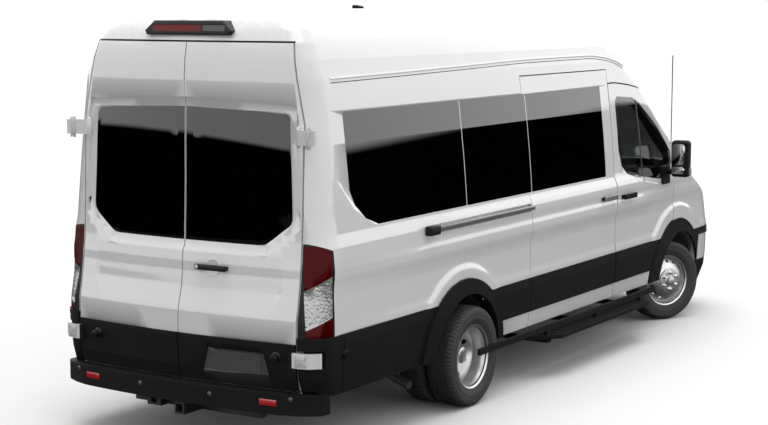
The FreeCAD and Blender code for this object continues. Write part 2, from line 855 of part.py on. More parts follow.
openings = openings.cut(block(S.slidingRear - S.wallThickness, S.sideDividerFront,
                              -reach, 0, 0, S.bodyHeight))
keep("side_glass", both(bandGlass))
shell = shell.cut(bandGlass.fuse(openings))
print("windows ready")

# roof
gutter = [(fullRear, S.gutterRear), (-halfLength * 0.87, S.gutterRear),
          (0, S.gutterMiddle), (S.gutterFrontX * 0.8, S.gutterMiddle * 0.993),
          (S.gutterFrontX, S.gutterFront), (S.headerX, S.headerHeight),
          (halfLength, S.headerHeight), (halfLength, 2 * S.bodyHeight),
          (fullRear, 2 * S.bodyHeight)]
roofZone = sidePrism(gutter, -reach, 0)
roof = whole(shell.common(roofZone))
brakeLampShares = ((-1, 0.36), (-0.82, 1), (0.82, 1), (1, 0.36), (0.94, 0), (-0.94, 0))
brakeLampHeight = S.brakeLampHead - S.brakeLampFoot
brakeLampOutline = [(y * S.brakeLampHalf, S.brakeLampFoot + z * brakeLampHeight)
                    for y, z in brakeLampShares]
brakeLamp = endPrism(brakeLampOutline, S.brakeLampRear, S.brakeLampFront)
keep("roof_panel", roof.cut(brakeLamp))
keep("high_brake_lamp", brakeLamp)
shell = shell.cut(roofZone)
print("roof ready")

# front end: bumper, grille, lamps
frontEnd = block(S.bumperRear, fullFront, -reach, 0, 0, S.bumperTop)
intake = block(halfLength * 0.9, fullFront, -S.intakeHalf, 0, S.intakeBottom,
               S.intakeTop)
bumper = outer.cut(room.common(block(0, fullFront, -reach, 0, 0, S.bodyHeight)))
bumper = bumper.common(frontEnd).cut(frontArch).cut(intake)
bumper = bumper.cut(frontFlares)
keep("front_bumper", whole(bumper))
shell = shell.cut(frontEnd)
cladding = cladding.cut(frontEnd)
grilleZone = block(halfLength * 0.8, fullFront, -S.grilleHalf, 0,
                   S.grilleBottom, S.grilleTop)
grille = shell.common(grilleZone)
slatCount = 4
pitch = (S.grilleTop - S.grilleBottom) / (slatCount + 1)
for number in range(slatCount):
    foot = S.grilleBottom + pitch * (number + 0.75)
    grille = grille.cut(block(halfLength * 0.8, fullFront, -S.grilleHalf * 0.93, 0,
                              foot, foot + pitch * 0.5))
keep("grille", whole(grille))
lampZone = sidePrism([(S.lampRear, S.lampTop), (halfLength * 0.93, S.lampBottom),
                      (fullFront, S.lampBottom), (fullFront, S.lampTop)],
                     -reach, -S.lampInner)
keep("headlamps", both(shell.common(lampZone)))
shell = shell.cut(grilleZone.fuse(lampZone))
print("front end ready")

# fenders are thin so that the doors can swing behind them
fenderZone = block(S.frontDoorRear + S.frontDoorWidth * 0.5, fullFront,
                   -reach, 0, 0, S.hoodTop * 0.97)
skin = outer.cut(envelope(S.skinThickness, S.skinThickness))
fender = shell.common(fenderZone).common(skin).cut(armSlot)
keep("fenders", both(fender))
shell = shell.cut(fenderZone)
frameZone = block(S.frontDoorRear + S.frontDoorWidth * 0.2, fullFront,
                  -reach, 0, 0, S.bodyHeight)
frame = shell.common(frameZone).cut(armSlot).cut(hingePocket)
keep("windshield_frame", whole(frame))
shell = shell.cut(frameZone)
print("fenders ready")

# tail lamps and the rear bumper with its corner posts
lampBox = sidePrism([(fullRear, S.tailLampFoot), (S.tailLampFront, S.tailLampFoot),
                     (S.tailLampFront, S.tailLampHead * 0.97),
                     (S.tailLampFront - S.tailLampDepth * 2, S.tailLampHead),
                     (fullRear, S.tailLampHead * 1.01)], -reach, -S.tailLampEdge)
tailLamp = shell.common(lampBox)
keep("tail_lamps", both(tailLamp))
shell = shell.cut(tailLamp)
rearRadius = (S.bumperHalf * S.bumperHalf + S.bumperBow * S.bumperBow) / (2 * S.bumperBow)
bumperDisc = postCylinder(rearRadius, rearRadius - S.bumperRearFace, 0,
                          S.bumperFoot, S.bumperStep)
bumperBar = bumperDisc.common(block(fullRear, -S.bumperFront, -S.bumperHalf,
                                    S.bumperHalf, S.bumperFoot, S.bumperStep))
bumperBar = bumperBar.makeFillet(S.bumperBow * 0.5, [
    edge for edge in bumperBar.Edges
    if abs(edge.BoundBox.ZLength - (S.bumperStep - S.bumperFoot)) < 1
    and edge.BoundBox.XMax < -S.bumperFront - S.bumperBow * 0.5])
postZone = block(fullRear, -S.postFront, -reach, -S.postInner, S.sillBottom, S.postTop)
posts = envelope(-S.postStandoff, 0).common(postZone).cut(
    envelope(S.tailLampDepth, 0))
hingeNotch = S.rearHingeHalf + S.doorGap
posts = posts.cut(block(fullRear, S.rearHingeX + S.hingeNotchDepth, -reach, 0,
                        S.rearHingeLow - hingeNotch, S.rearHingeLow + hingeNotch))
shell = shell.cut(postZone).cut(bumperBar)
cladding = cladding.cut(block(fullRear, -S.postFront, -reach, -S.rearDoorHalf,
                              0, S.postTop)).cut(bumperBar)
bumperBar = bumperBar.fuse(posts).fuse(mirrored(posts))
keep("rear_bumper", bumperBar)

# the left side panel is whole; the right one has the sliding door
sidePanel = shell
keep("side_panel_left", mirrored(sidePanel))
slidingZone = block(S.slidingRear, S.slidingFront, -reach, 0, 0, S.slidingTop)
slidingHole = block(S.slidingRear - S.panelGap, S.slidingFront + S.panelGap / 2,
                    -reach, 0, 0, S.slidingTop + S.panelGap)
keep("sliding_door", sidePanel.common(slidingZone))
keep("side_panel_right", sidePanel.cut(slidingHole))
slidingTrim = cladding.common(slidingZone)
keep("lower_cladding", [mirrored(cladding), cladding.cut(slidingHole), slidingTrim])
print("side panels ready")

# slide rail on the right, and the sliding door's handle
railZone = block(S.slideRear, S.slideFront, -reach, -halfWidth * 0.8,
                 S.slideHeight - S.slideBand / 2, S.slideHeight + S.slideBand / 2)
rail = envelope(-S.slideStandoff, 0).common(railZone).cut(outer)
rail = rail.cut(block(S.slideRear + S.slideBand, S.slideFront + S.slideBand, -reach,
                      -halfWidth * 0.8, S.slideHeight - S.slideSlot / 2,
                      S.slideHeight + S.slideSlot / 2))
keep("slide_rail", [rail, handle(S.slidingHandleX, S.slidingHandleZ)])

# floor with wheel housings
inside = room
floorSlab = block(-S.floorRear, S.floorFront, -halfWidth, 0,
                  S.floorTop - S.floorThickness, S.floorTop)
bulkhead = block(S.floorFront, S.floorFront + S.bulkheadThickness, -halfWidth, 0,
                 S.floorTop - S.floorThickness, S.bulkheadTop)
tray = block(S.floorFront, S.trayFront, -S.trayHalf, 0,
             S.bulkheadTop - S.trayThickness, S.bulkheadTop)
bracket = block(S.hoodPinX - 1.5 * S.hoodBracketHalf, S.hoodPinX + S.hoodBracketHalf * 0.7,
                -S.hoodArmY - 2 * S.hoodArmWidth, -S.hoodArmY - S.hoodArmWidth * 1.2,
                S.bulkheadTop - S.trayThickness, S.hoodPinZ + S.hoodBracketHalf * 0.6)
bracket = bracket.cut(crossCylinder(S.hoodPinRadius + S.hoodPinClearance, S.hoodPinX,
                                    S.hoodPinZ, -S.hoodArmY - 3 * S.hoodArmWidth,
                                    -S.hoodArmY))
floor = floorSlab.fuse(bulkhead).fuse(tray)
hollow = []
for archX, radius, inner in ((frontAxle, S.archRadius, S.frontHousingInner),
                             (rearArchX, S.rearArchRadius, S.rearHousingInner)):
    drum = crossCylinder(radius + S.housingThickness, archX, S.wheelHeight,
                         -halfWidth, -inner)
    floor = floor.fuse(drum.common(block(-halfLength, halfLength, -halfWidth, 0,
                                         S.sillBottom, S.bodyHeight)))
    hollow.append(crossCylinder(radius, archX, S.wheelHeight, -reach,
                                -inner - S.housingThickness))
floor = floor.common(inside).cut(hollow[0]).cut(hollow[1]).fuse(bracket)
keep("floor_pan", whole(floor))
print("floor ready")

# Wheels. Each is turned about its own axle line, then set in place.


def turned(name, profile):
    # a closed outline of (along, out) pairs swept round the axle line
    body = document.addObject("PartDesign::Body", name)
    plane = [item for item in body.Origin.OriginFeatures if item.Role == "XY_Plane"][0]
    sketch = body.newObject("Sketcher::SketchObject", name + "Outline")
    sketch.AttachmentSupport = [(plane, "")]
    sketch.MapMode = "FlatFace"
    count = len(profile)
    for number in range(count):
        follow = (number + 1) % count
        sketch.addGeometry(Part.LineSegment(
            V(math.cos(math.tau * number / count), math.sin(math.tau * number / count) + 2, 0),
            V(math.cos(math.tau * follow / count), math.sin(math.tau * follow / count) + 2, 0)))
    for number in range(count):
        sketch.addConstraint(Sketcher.Constraint(
            "Coincident", number, 2, (number + 1) % count, 1))
    for number, (along, out) in enumerate(profile):
        x = sketch.addConstraint(Sketcher.Constraint("DistanceX", number, 1, 1.0))
        sketch.setExpression("Constraints[%d]" % x, named(along))
        if out == "0":
            sketch.addConstraint(Sketcher.Constraint("PointOnObject", number, 1, -1))
            continue
        y = sketch.addConstraint(Sketcher.Constraint("DistanceY", number, 1, 1.0))
        sketch.setExpression("Constraints[%d]" % y, named(out))
    spin = body.newObject("PartDesign::Revolution", name + "Turn")
    spin.Profile = sketch
    spin.ReferenceAxis = (sketch, ["H_Axis"])
    spin.Angle = 360
    body.Tip = spin
    return body


def settle(item, x, y, z, yaw):
    item.Placement = FreeCAD.Placement(V(0, 0, 0), FreeCAD.Rotation(up, yaw))
    return bind(item, at(x, y, z))


halfTyre = "tyreWidth / 2"
tyreProfile = (
    ("0 - rimWidth / 2 + seatGap", "beadRadius + seatGap"),
    ("rimWidth / 2 - seatGap", "beadRadius + seatGap"),
    ("rimWidth / 2 - seatGap", "rimRadius + seatGap"),
    (halfTyre, "beadRadius + (tyreRadius - beadRadius) * 0.5"),
    ("%s * 0.96" % halfTyre, "tyreRadius - tyreShoulder"),
    ("%s * 0.86" % halfTyre, "tyreRadius - tyreShoulder * 0.3"),
    ("%s * 0.7" % halfTyre, "tyreRadius"),
    ("0 - %s * 0.7" % halfTyre, "tyreRadius"),
    ("0 - %s * 0.86" % halfTyre, "tyreRadius - tyreShoulder * 0.3"),
    ("0 - %s * 0.96" % halfTyre, "tyreRadius - tyreShoulder"),
    ("0 - %s" % halfTyre, "beadRadius + (tyreRadius - beadRadius) * 0.5"),
    ("0 - rimWidth / 2 + seatGap", "rimRadius + seatGap"),
)
rimProfile = (
    ("0 - rimWidth / 2 - rimThickness", "rimRadius"),
    ("0 - rimWidth / 2", "rimRadius"),
    ("0 - rimWidth / 2", "beadRadius"),
    ("rimWidth / 2", "beadRadius"),
    ("rimWidth / 2", "rimRadius"),
    ("rimWidth / 2 + rimThickness", "rimRadius"),
    ("rimWidth / 2 + rimThickness", "beadRadius - rimThickness"),
    ("wheelOffset * 0.4", "beadRadius - rimThickness"),
    ("wheelOffset * 0.82", "handHoleCircle"),
    ("wheelOffset", "lugCircle * 1.25"),
    ("wheelOffset", "hubRadius"),
    ("wheelOffset - rimThickness", "hubRadius"),
    ("wheelOffset - rimThickness", "lugCircle * 1.2"),
    ("wheelOffset * 0.74", "handHoleCircle * 0.97"),
    ("wheelOffset * 0.22", "beadRadius - rimThickness"),
    ("0 - rimWidth / 2 - rimThickness", "beadRadius - rimThickness"),
)
frontHubProfile = (
    ("discOffset", "hubBore"),
    ("wheelOffset + capDepth * 0.5", "hubBore"),
    ("wheelOffset + capDepth * 0.5", "0"),
    ("wheelOffset + capDepth", "0"),
    ("wheelOffset + capDepth", "hubRadius * 0.72"),
    ("wheelOffset + capDepth * 0.8", "hubRadius * 0.88"),
    ("wheelOffset", "hubRadius * 0.94"),
    ("wheelOffset", "hubRadius * 1.3"),
    ("wheelOffset - rimThickness * 1.5", "hubRadius * 1.3"),
    ("wheelOffset - rimThickness * 1.5", "hubRadius * 0.8"),
    ("discOffset + discThickness", "hubRadius * 0.8"),
    ("discOffset + discThickness", "discRadius"),
    ("discOffset", "discRadius"),
)
# the twin's hub runs from the inner wheel out through the dish of the outer
rearHubProfile = (
    ("0 - hubInner", "hubBore"),
    ("hubOuter - capDepth * 0.5", "hubBore"),
    ("hubOuter - capDepth * 0.5", "0"),
    ("hubOuter", "0"),
    ("hubOuter", "hubRadius * 0.8"),
    ("hubOuter - capDepth", "hubRadius"),
    ("0 - hubInner + discThickness", "hubRadius"),
    ("0 - hubInner + discThickness", "discRadius"),
    ("0 - hubInner", "discRadius"),
)


def ring(name, count, radius, out, length, start, phase):
    # cylinders along X, spaced round the axle line
    items = []
    for number in range(count):
        angle = "%g" % (360 / count * number + phase)
        items.append(rod("%s%d" % (name, number + 1), radius, length, start,
                         "(%s) * cos(%s)" % (out, angle),
                         "(%s) * sin(%s)" % (out, angle), forward))
    return joined(name, items)


def rimSolid(name):
    rim = turned(name + "Steel", rimProfile)
    holes = ring(name + "HandHole", 8, "handHoleRadius", "handHoleCircle",
                 "wheelOffset", "wheelOffset * 0.35", 22.5)
    return cutFrom(name + "Open", rim, holes)


# steered and twin wheels, left and right
for side in ("left", "right"):
    left = side == "left"
    sign = "0 + " if left else "0 - "
    steer = S.steerLeft if left else S.steerRight
    steerName = "steerLeft" if left else "steerRight"
    facing = 90 if left else 270
    backing = 270 if left else 90

    def span(near, far):
        # a range along the vehicle, turned to the rear on both sides
        return (near, far) if left else ("0 - (%s)" % far, "0 - (%s)" % near)

    kingpin = sign + "kingpinY"
    track = "(frontWheelY - kingpinY)"
    wheelX = "%s - (%s1) * %s * sin(%s)" % (frontX, sign, track, steerName)
    wheelY = "%s + (%s1) * %s * cos(%s)" % (kingpin, sign, track, steerName)
    tyre = turned("FrontTyre" + side, tyreProfile)
    node(settle(tyre, wheelX, wheelY, "wheelHeight", facing + steer), "front_tyre_" + side)
    rim = rimSolid("FrontRim" + side)
    lugs = ring("FrontLug" + side, 6, "lugRadius", "lugCircle", "lugLength",
                "wheelOffset - rimThickness / 2", 0)
    hub = turned("FrontHub" + side, frontHubProfile)
    wheel = joined("FrontWheel" + side, [rim, lugs, hub])
    node(settle(wheel, wheelX, wheelY, "wheelHeight", facing + steer),
         "front_rim_" + side)

    # steering knuckle: upright, spindle, steering arm and brake caliper
    post = rod("Post" + side, "postRadius", "postHeight", "0", "0",
               "0 - postHeight / 2", up)
    spindle = rod("Spindle" + side, "spindleRadius",
                  track + " + wheelOffset + capDepth * 0.4", "0", "0", "0", forward)
    ahead, behind = span("0 - steeringArmLength", "steeringArmLength * 0.1")
    arm = brick("SteeringArm" + side, "0 - postRadius * 2", "0", ahead, behind,
                "0 - steeringArmHeight / 2", "steeringArmHeight / 2")
    ahead, behind = span("discRadius * 0.35", "discRadius * 0.95")
    caliper = brick("Caliper" + side, track + " + discOffset - discThickness",
                    track + " + discOffset - caliperGap", ahead, behind,
                    "0 - discRadius * 0.4", "discRadius * 0.4")
    ahead, behind = span("0", "discRadius * 0.6")
    link = brick("CaliperLink" + side, "0 - postRadius * 0.5",
                 track + " + discOffset - caliperGap", ahead, behind,
                 "0 - discRadius * 0.15", "discRadius * 0.15")
    knuckle = joined("Knuckle" + side, [post, spindle, arm, caliper, link])
    node(settle(knuckle, frontX, kingpin, "wheelHeight", facing + steer),
         "knuckle_" + side)

    # twin rear wheels: two tyres, two rims back to back and one hub
    tyres = []
    dished = []
    for place, out in (("Outer", "rearOuterY"), ("Inner", "rearInnerY")):
        twin = turned("RearTyre" + place + side, tyreProfile)
        settle(twin, rearX, sign + out, "wheelHeight", facing)
        tyres.append(twin)
        steel = rimSolid("RearRim" + place + side)
        settle(steel, rearX, sign + out, "wheelHeight",
               facing if place == "Inner" else backing)
        dished.append(steel)
    grouped("rear_tyres_" + side, tyres)
    mate = "%s(rearInnerY + wheelOffset)" % sign
    rearHub = turned("RearHub" + side, rearHubProfile)
    settle(rearHub, rearX, mate, "wheelHeight", facing)
    rearLugs = ring("RearLug" + side, 6, "lugRadius", "lugCircle", "lugLength * 1.6",
                    "0 - lugLength * 0.3", 0)
    settle(rearLugs, rearX, mate, "wheelHeight", facing)
    node(joined("RearWheels" + side, dished + [rearHub, rearLugs]), "rear_rims_" + side)

# rear axle with its differential, spindles and spring pads
tube = rod("AxleTube", "axleTube", "2 * axleTubeHalf", rearX, "0 - axleTubeHalf",
           "wheelHeight", across)
spindles = rod("RearSpindle", "spindleRadius",
               "2 * (rearInnerY + wheelOffset + hubOuter - capDepth * 0.6)", rearX,
               "0 - (rearInnerY + wheelOffset + hubOuter - capDepth * 0.6)",
               "wheelHeight", across)
pumpkin = primitive("Sphere", "Differential", {"Radius": "differentialRadius"},
                    at(rearX, "0", "wheelHeight"))
snout = rod("Pinion", "pinionRadius", "differentialRadius + pinionLength", rearX, "0",
            "wheelHeight", forward)
node(joined("RearAxle", [tube, spindles, pumpkin, snout]), "rear_axle")

# leaf springs: three arched leaves on each side, under the rails
springs = []
for side in (1, -1):
    stack = None
    for number in range(3):
        length = S.springHalf * (1 - 0.22 * number)
        camber = S.springDrop
        radius = (S.springHalf * S.springHalf + camber * camber) / (2 * camber)
        middle = S.wheelHeight + S.axleTube + radius + (3 - number) * S.springThickness
        y0 = side * S.springY - S.springWidth / 2
        y1 = side * S.springY + S.springWidth / 2
        leaf = crossCylinder(radius + S.springThickness, rearAxle, middle, y0, y1)
        leaf = leaf.cut(crossCylinder(radius, rearAxle, middle, y0, y1))
        leaf = leaf.common(block(rearAxle - length, rearAxle + length, y0, y1,
                                 0, S.railTop))
        stack = leaf if stack is None else stack.fuse(leaf)
    springs.append(stack)

# ladder frame
rails = []
for side in ("0 + ", "0 - "):
    y0 = "railHalf" if side == "0 + " else "0 - railHalf - railWidth"
    y1 = "railHalf + railWidth" if side == "0 + " else "0 - railHalf"
    name = "Left" if side == "0 + " else "Right"
    rails.append(brick("Rail" + name, "chassisRear", "chassisFront", y0, y1,
                       "railFoot", "railTop"))
    # the spring ends bear on hangers under the rail
    for end, sense in (("Front", "1"), ("Rear", "(0 - 1)")):
        middle = "(%s + %s * (springHalf - springHangerLength / 2))" % (rearX, sense)
        rails.append(brick("SpringHanger" + name + end,
                           middle + " - springHangerLength / 2",
                           middle + " + springHangerLength / 2", y0, y1,
                           "wheelHeight + axleTube + 3 * springThickness + springDrop"
                           " + seatGap", "railFoot"))
for number, share in enumerate((0.93, 0.47, 0.1, -0.22, -0.62, -0.91)):
    middle = "overallLength / 2 * (%g)" % share
    rails.append(brick("Cross%d" % (number + 1), "%s - crossLength" % middle, middle,
                       "0 - railHalf - railWidth / 2", "railHalf + railWidth / 2",
                       "crossFoot", "railTop - crossLength * 0.2"))
rails.append(brick("CarrierBar", "overallLength / 2 * (-0.91) - crossLength",
                   "overallLength / 2 * (-0.62)", "0 - carrierHalf", "carrierHalf",
                   "crossFoot", "crossFoot + carrierThickness"))
plateTop = "spareHeight - tyreWidth / 6 - seatGap"
rails.append(rod("CarrierPost", "carrierPostRadius",
                 "crossFoot + carrierThickness / 2 - (%s) + carrierPlateThickness / 2"
                 % plateTop, "spareX", "0", plateTop + " - carrierPlateThickness / 2", up))
rails.append(rod("CarrierPlate", "carrierPlateRadius", "carrierPlateThickness", "spareX",
                 "0", plateTop + " - carrierPlateThickness", up))
joined("LadderFrame", rails)
node(document.getObject("LadderFrame"), "chassis_rails")
keep("leaf_springs", springs)

# engine and gearbox block, drive shaft
engine = brick("Engine", "engineRear", "engineRear + engineLength",
               "0 - engineWidth / 2", "engineWidth / 2", "engineFoot",
               "engineFoot + engineHeight")
node(engine, "engine_block")
gearbox = rod("Gearbox", "gearboxRadius", "gearboxLength", "engineRear - gearboxLength",
              "0", "driveHeight", forward)
shaftStart = V(S.engineRear - S.gearboxLength, 0, S.driveHeight)
shaftEnd = V(rearAxle + 2 * S.differentialRadius + S.pinionLength, 0, S.wheelHeight)
shaft = Part.makeCylinder(S.shaftRadius, (shaftEnd - shaftStart).Length, shaftStart,
                          shaftEnd - shaftStart)
document.recompute()
keep("gearbox", [gearbox.Shape.fuse(shaft)])

# front suspension: cross member, lower arms and struts
subframe = brick("Subframe", "%s - subframeLength / 2" % frontX,
                 "%s + subframeLength / 2" % frontX, "0 - subframeHalf",
                 "subframeHalf", "subframeFoot", "subframeFoot + subframeHeight")
parts = [subframe]
for side in ("0 + ", "0 - "):
    name = "Left" if side == "0 + " else "Right"
    y0 = "armInner" if name == "Left" else "0 - armOuter"
    y1 = "armOuter" if name == "Left" else "0 - armInner"
    parts.append(brick("Arm" + name, "%s - armWidth / 2" % frontX,
                       "%s + armWidth / 2" % frontX, y0, y1, "armFoot",
                       "armFoot + armHeight"))
    y0 = "armInner" if name == "Left" else "0 - armInner - armWidth"
    y1 = "armInner + armWidth" if name == "Left" else "0 - armInner"
    parts.append(brick("ArmDrop" + name, "%s - armWidth" % frontX,
                       "%s + armWidth" % frontX, y0, y1, "armFoot",
                       "subframeFoot + subframeHeight"))
    y0 = "railHalf" if name == "Left" else "0 - railHalf - railWidth"
    y1 = "railHalf + railWidth" if name == "Left" else "0 - railHalf"
    for end, sense in (("Front", "1"), ("Rear", "0 - 1")):
        middle = "(%s + (%s) * (subframeLength - postWidth) / 2)" % (frontX, sense)
        parts.append(brick("Riser" + name + end, middle + " - postWidth / 2",
                           middle + " + postWidth / 2", y0, y1,
                           "subframeFoot + subframeHeight", "railFoot"))
    y0 = "mountInner" if name == "Left" else "0 - mountInner - postWidth"
    y1 = "mountInner + postWidth" if name == "Left" else "0 - mountInner"
    parts.append(brick("EngineMount" + name, "engineRear", "engineRear + mountLength",
                       y0, y1, "subframeFoot + subframeHeight", "engineFoot"))
    y0 = "armOuter - armWidth" if name == "Left" else "0 - ballReach"
    y1 = "ballReach" if name == "Left" else "0 - armOuter + armWidth"
    parts.append(brick("LowerBall" + name, "%s - ballHalf" % frontX,
                       "%s + ballHalf" % frontX, y0, y1,
                       "wheelHeight - postHeight / 2 - seatGap - ballThickness",
                       "wheelHeight - postHeight / 2 - seatGap"))
frontParts = joined("FrontCross", parts)
# the coils end just below the round wheel housings
strutTop = "(wheelHeight + sqrt(archRadius ^ 2 - coilRadius ^ 2) - seatGap)"
struts = []
for side in ("0 + ", "0 - "):
    name = "Left" if side == "0 + " else "Right"
    damper = rod("Damper" + name, "strutRadius", strutTop + " - strutFoot", frontX,
                 side + "strutY", "strutFoot", up)
    coil = rod("Coil" + name, "coilRadius", "coilLength", frontX, side + "strutY",
               strutTop + " - coilLength", up)
    y0 = "strutY" if name == "Left" else "0 - ballReach"
    y1 = "ballReach" if name == "Left" else "0 - strutY"
    seat = brick("UpperBall" + name, "%s - ballHalf" % frontX, "%s + ballHalf" % frontX,
                 y0, y1, "wheelHeight + postHeight / 2 + seatGap",
                 "wheelHeight + postHeight / 2 + seatGap + ballThickness")
    struts.append(joined("Strut" + name, [damper, coil, seat]))
grouped("front_suspension", [frontParts] + struts)

# fuel tank, exhaust, spare wheel
tank = brick("Tank", "tankRear", "tankRear + tankLength", "tankY - tankWidth / 2",
             "tankY + tankWidth / 2", "tankFoot", "tankFoot + tankHeight")
document.recompute()
rounded = document.addObject("Part::Fillet", "RoundedTank")
rounded.Base = tank
rounded.Edges = [(number + 1, S.tankCorner, S.tankCorner) for number in range(12)]
node(rounded, "fuel_tank")
route = [(S.exhaustFront, -S.exhaustY, S.exhaustHeight),
         (rearAxle + S.exhaustRise, -S.exhaustY, S.exhaustHeight),
         (rearAxle + S.exhaustRise / 2, -S.exhaustY, S.exhaustOver),
         (rearAxle - S.exhaustRise / 2, -S.exhaustY, S.exhaustOver),
         (rearAxle - S.exhaustRise, -S.exhaustY, S.exhaustOver * 0.7),
         (S.exhaustRear, -S.exhaustOut, S.exhaustTip)]
pipe = None
for number in range(len(route) - 1):
    start = V(*route[number])
    end = V(*route[number + 1])
    piece = Part.makeCylinder(S.exhaustRadius, (end - start).Length, start, end - start)
    pipe = piece if pipe is None else pipe.fuse(piece)
    if number:
        pipe = pipe.fuse(Part.makeSphere(S.exhaustRadius, start))
muffler = Part.makeCylinder(S.mufflerRadius, S.mufflerLength,
                            V(S.mufflerX, -S.exhaustY, S.exhaustHeight), forward)
pipe = pipe.fuse(muffler)
for x in (S.hangerFront, S.hangerRear):
    pipe = pipe.fuse(postCylinder(S.hangerRadius, x, -S.exhaustY, S.exhaustHeight,
                                  S.floorTop - S.floorThickness))
keep("exhaust", pipe)
spare = turned("Spare", (
    ("0 - tyreWidth / 2", "beadRadius * 1.15"),
    ("0 - tyreWidth / 6", "beadRadius * 0.9"),
    ("0 - tyreWidth / 6", "hubRadius"),
    ("tyreWidth / 6", "hubRadius"),
    ("tyreWidth / 6", "beadRadius * 0.9"),
    ("tyreWidth / 2", "beadRadius * 1.15"),
    ("tyreWidth / 2", "tyreRadius - tyreShoulder"),
    ("tyreWidth / 2 * 0.7", "tyreRadius"),
    ("0 - tyreWidth / 2 * 0.7", "tyreRadius"),
    ("0 - tyreWidth / 2", "tyreRadius - tyreShoulder"),
))
spare.Placement = FreeCAD.Placement(V(0, 0, 0), FreeCAD.Rotation(forward, up))
bind(spare, at("spareX", "0", "spareHeight"))
node(spare, "spare_wheel")

# hitch receiver with its square socket and cross pin holes
socket = brick("Receiver", "receiverRear", "receiverFront", "0 - receiverSize / 2",
               "receiverSize / 2", "receiverFoot", "receiverFoot + receiverSize")
bar = brick("HitchBar", "receiverFront - hitchBarLength", "receiverFront",
            "0 - hitchBarHalf", "hitchBarHalf", "receiverFoot",
            "receiverFoot + receiverSize")
plates = []
for side in ("0 + ", "0 - "):
    name = "Left" if side == "0 + " else "Right"
    y0 = "railHalf" if name == "Left" else "0 - railHalf - hitchPlateThickness"
    y1 = "railHalf + hitchPlateThickness" if name == "Left" else "0 - railHalf"
    plates.append(brick("HitchPlate" + name, "doorGap - bumperFront",
                        "receiverFront + hitchPlateLength", y0, y1,
                        "receiverFoot", "railFoot"))
plugBox = brick("PlugBox", "receiverFront - hitchBarLength - plugBoxLength",
                "receiverFront - hitchBarLength", "plugBoxInner", "plugBoxOuter",
                "receiverFoot", "receiverFoot + plugBoxHeight")
solidHitch = joined("HitchSolid", [socket, bar, plugBox] + plates)
bore = brick("ReceiverBore", "receiverRear - receiverSize", "receiverFront",
             "0 - receiverBore / 2", "receiverBore / 2",
             "receiverFoot + (receiverSize - receiverBore) / 2",
             "receiverFoot + (receiverSize + receiverBore) / 2")
pinHole = rod("PinHole", "pinRadius", "receiverSize * 2", "pinX", "0 - receiverSize",
              "receiverFoot + receiverSize / 2", across)
plugSocket = rod("PlugSocket", "plugSocketRadius", "plugBoxLength / 2 + receiverSize",
                 "receiverFront - hitchBarLength - plugBoxLength - receiverSize",
                 "(plugBoxInner + plugBoxOuter) / 2", "receiverFoot + plugBoxHeight / 2",
                 forward)
node(cutFrom("Hitch", solidHitch, joined("HitchHoles", [bore, pinHole, plugSocket])),
     "hitch_receiver")

# running boards: a bar along the sill, a grooved plate with slanted ends below
# it, and brackets under the frame
boards = []
grooveCount = 6
for side in ("0 + ", "0 - "):
    left = side == "0 + "
    name = "Left" if left else "Right"
    hand = 1 if left else -1

    def outward(near, far):
        return (near, far) if left else ("0 - (%s)" % far, "0 - (%s)" % near)

    corners = [(S.boardRear, hand * S.boardInner),
               (S.boardRear + S.boardSlant, hand * S.boardOuter),
               (S.boardFront - S.boardSlant, hand * S.boardOuter),
               (S.boardFront, hand * S.boardInner)]
    plate = planPrism(corners, S.boardTop - S.boardThickness, S.boardTop)
    pitch = (S.boardOuter - S.boardInner) / (grooveCount + 1)
    for number in range(grooveCount):
        middle = hand * (S.boardInner + pitch * (number + 1))
        inset = S.boardSlant * (number + 1.4) / grooveCount
        plate = plate.cut(block(S.boardRear + inset, S.boardFront - inset,
                                middle - pitch / 4, middle + pitch / 4,
                                S.boardTop - S.boardGrooveDepth, S.boardTop))
    sheetBoard = document.addObject("Part::Feature", "Plate" + name)
    sheetBoard.Shape = plate
    y0, y1 = outward("barInner", "barOuter")
    pieces = [sheetBoard,
              brick("Bar" + name, "barRear", "barFront", y0, y1, "barFoot", "barTop")]
    for number, share in enumerate((0.08, 0.5, 0.92)):
        middle = "(boardRear + (boardFront - boardRear) * %g)" % share
        y0, y1 = outward("boardBracketInner", "barInner + boardThickness")
        pieces.append(brick("Bracket%s%d" % (name, number + 1),
                            "%s - boardBracketLength / 2" % middle,
                            "%s + boardBracketLength / 2" % middle, y0, y1,
                            "boardTop - boardThickness - boardBracketHeight",
                            "boardTop - boardThickness"))
        y0, y1 = outward("barInner", "barInner + boardThickness")
        pieces.append(brick("Web%s%d" % (name, number + 1),
                            "%s - boardBracketLength / 2" % middle,
                            "%s + boardBracketLength / 2" % middle, y0, y1,
                            "boardTop - boardThickness", "barFoot"))
        y0, y1 = outward("boardBracketInner", "boardBracketInner + boardBracketLength")
        pieces.append(brick("Hanger%s%d" % (name, number + 1),
                            "%s - boardBracketLength / 2" % middle,
                            "%s + boardBracketLength / 2" % middle, y0, y1,
                            "boardTop - boardThickness", "railFoot"))
    boards.append(joined("RunningBoard" + name, pieces))
grouped("running_boards", boards)

# roof fin and mast
mast = postCylinder(S.mastRadius, S.mastX, -S.mastY, S.mastFoot, S.mastHead).cut(outer)
finShape = sidePrism([(S.finX - S.finLength / 2, S.finTop), (S.finX, S.finTop * 0.997),
                      (S.finX + S.finLength / 2, S.bodyHeight * 0.985),
                      (S.finX - S.finLength / 2, S.bodyHeight * 0.985)],
                     -S.finWidth / 2, S.finWidth / 2).cut(roof)
keep("antennas", [finShape, mast])

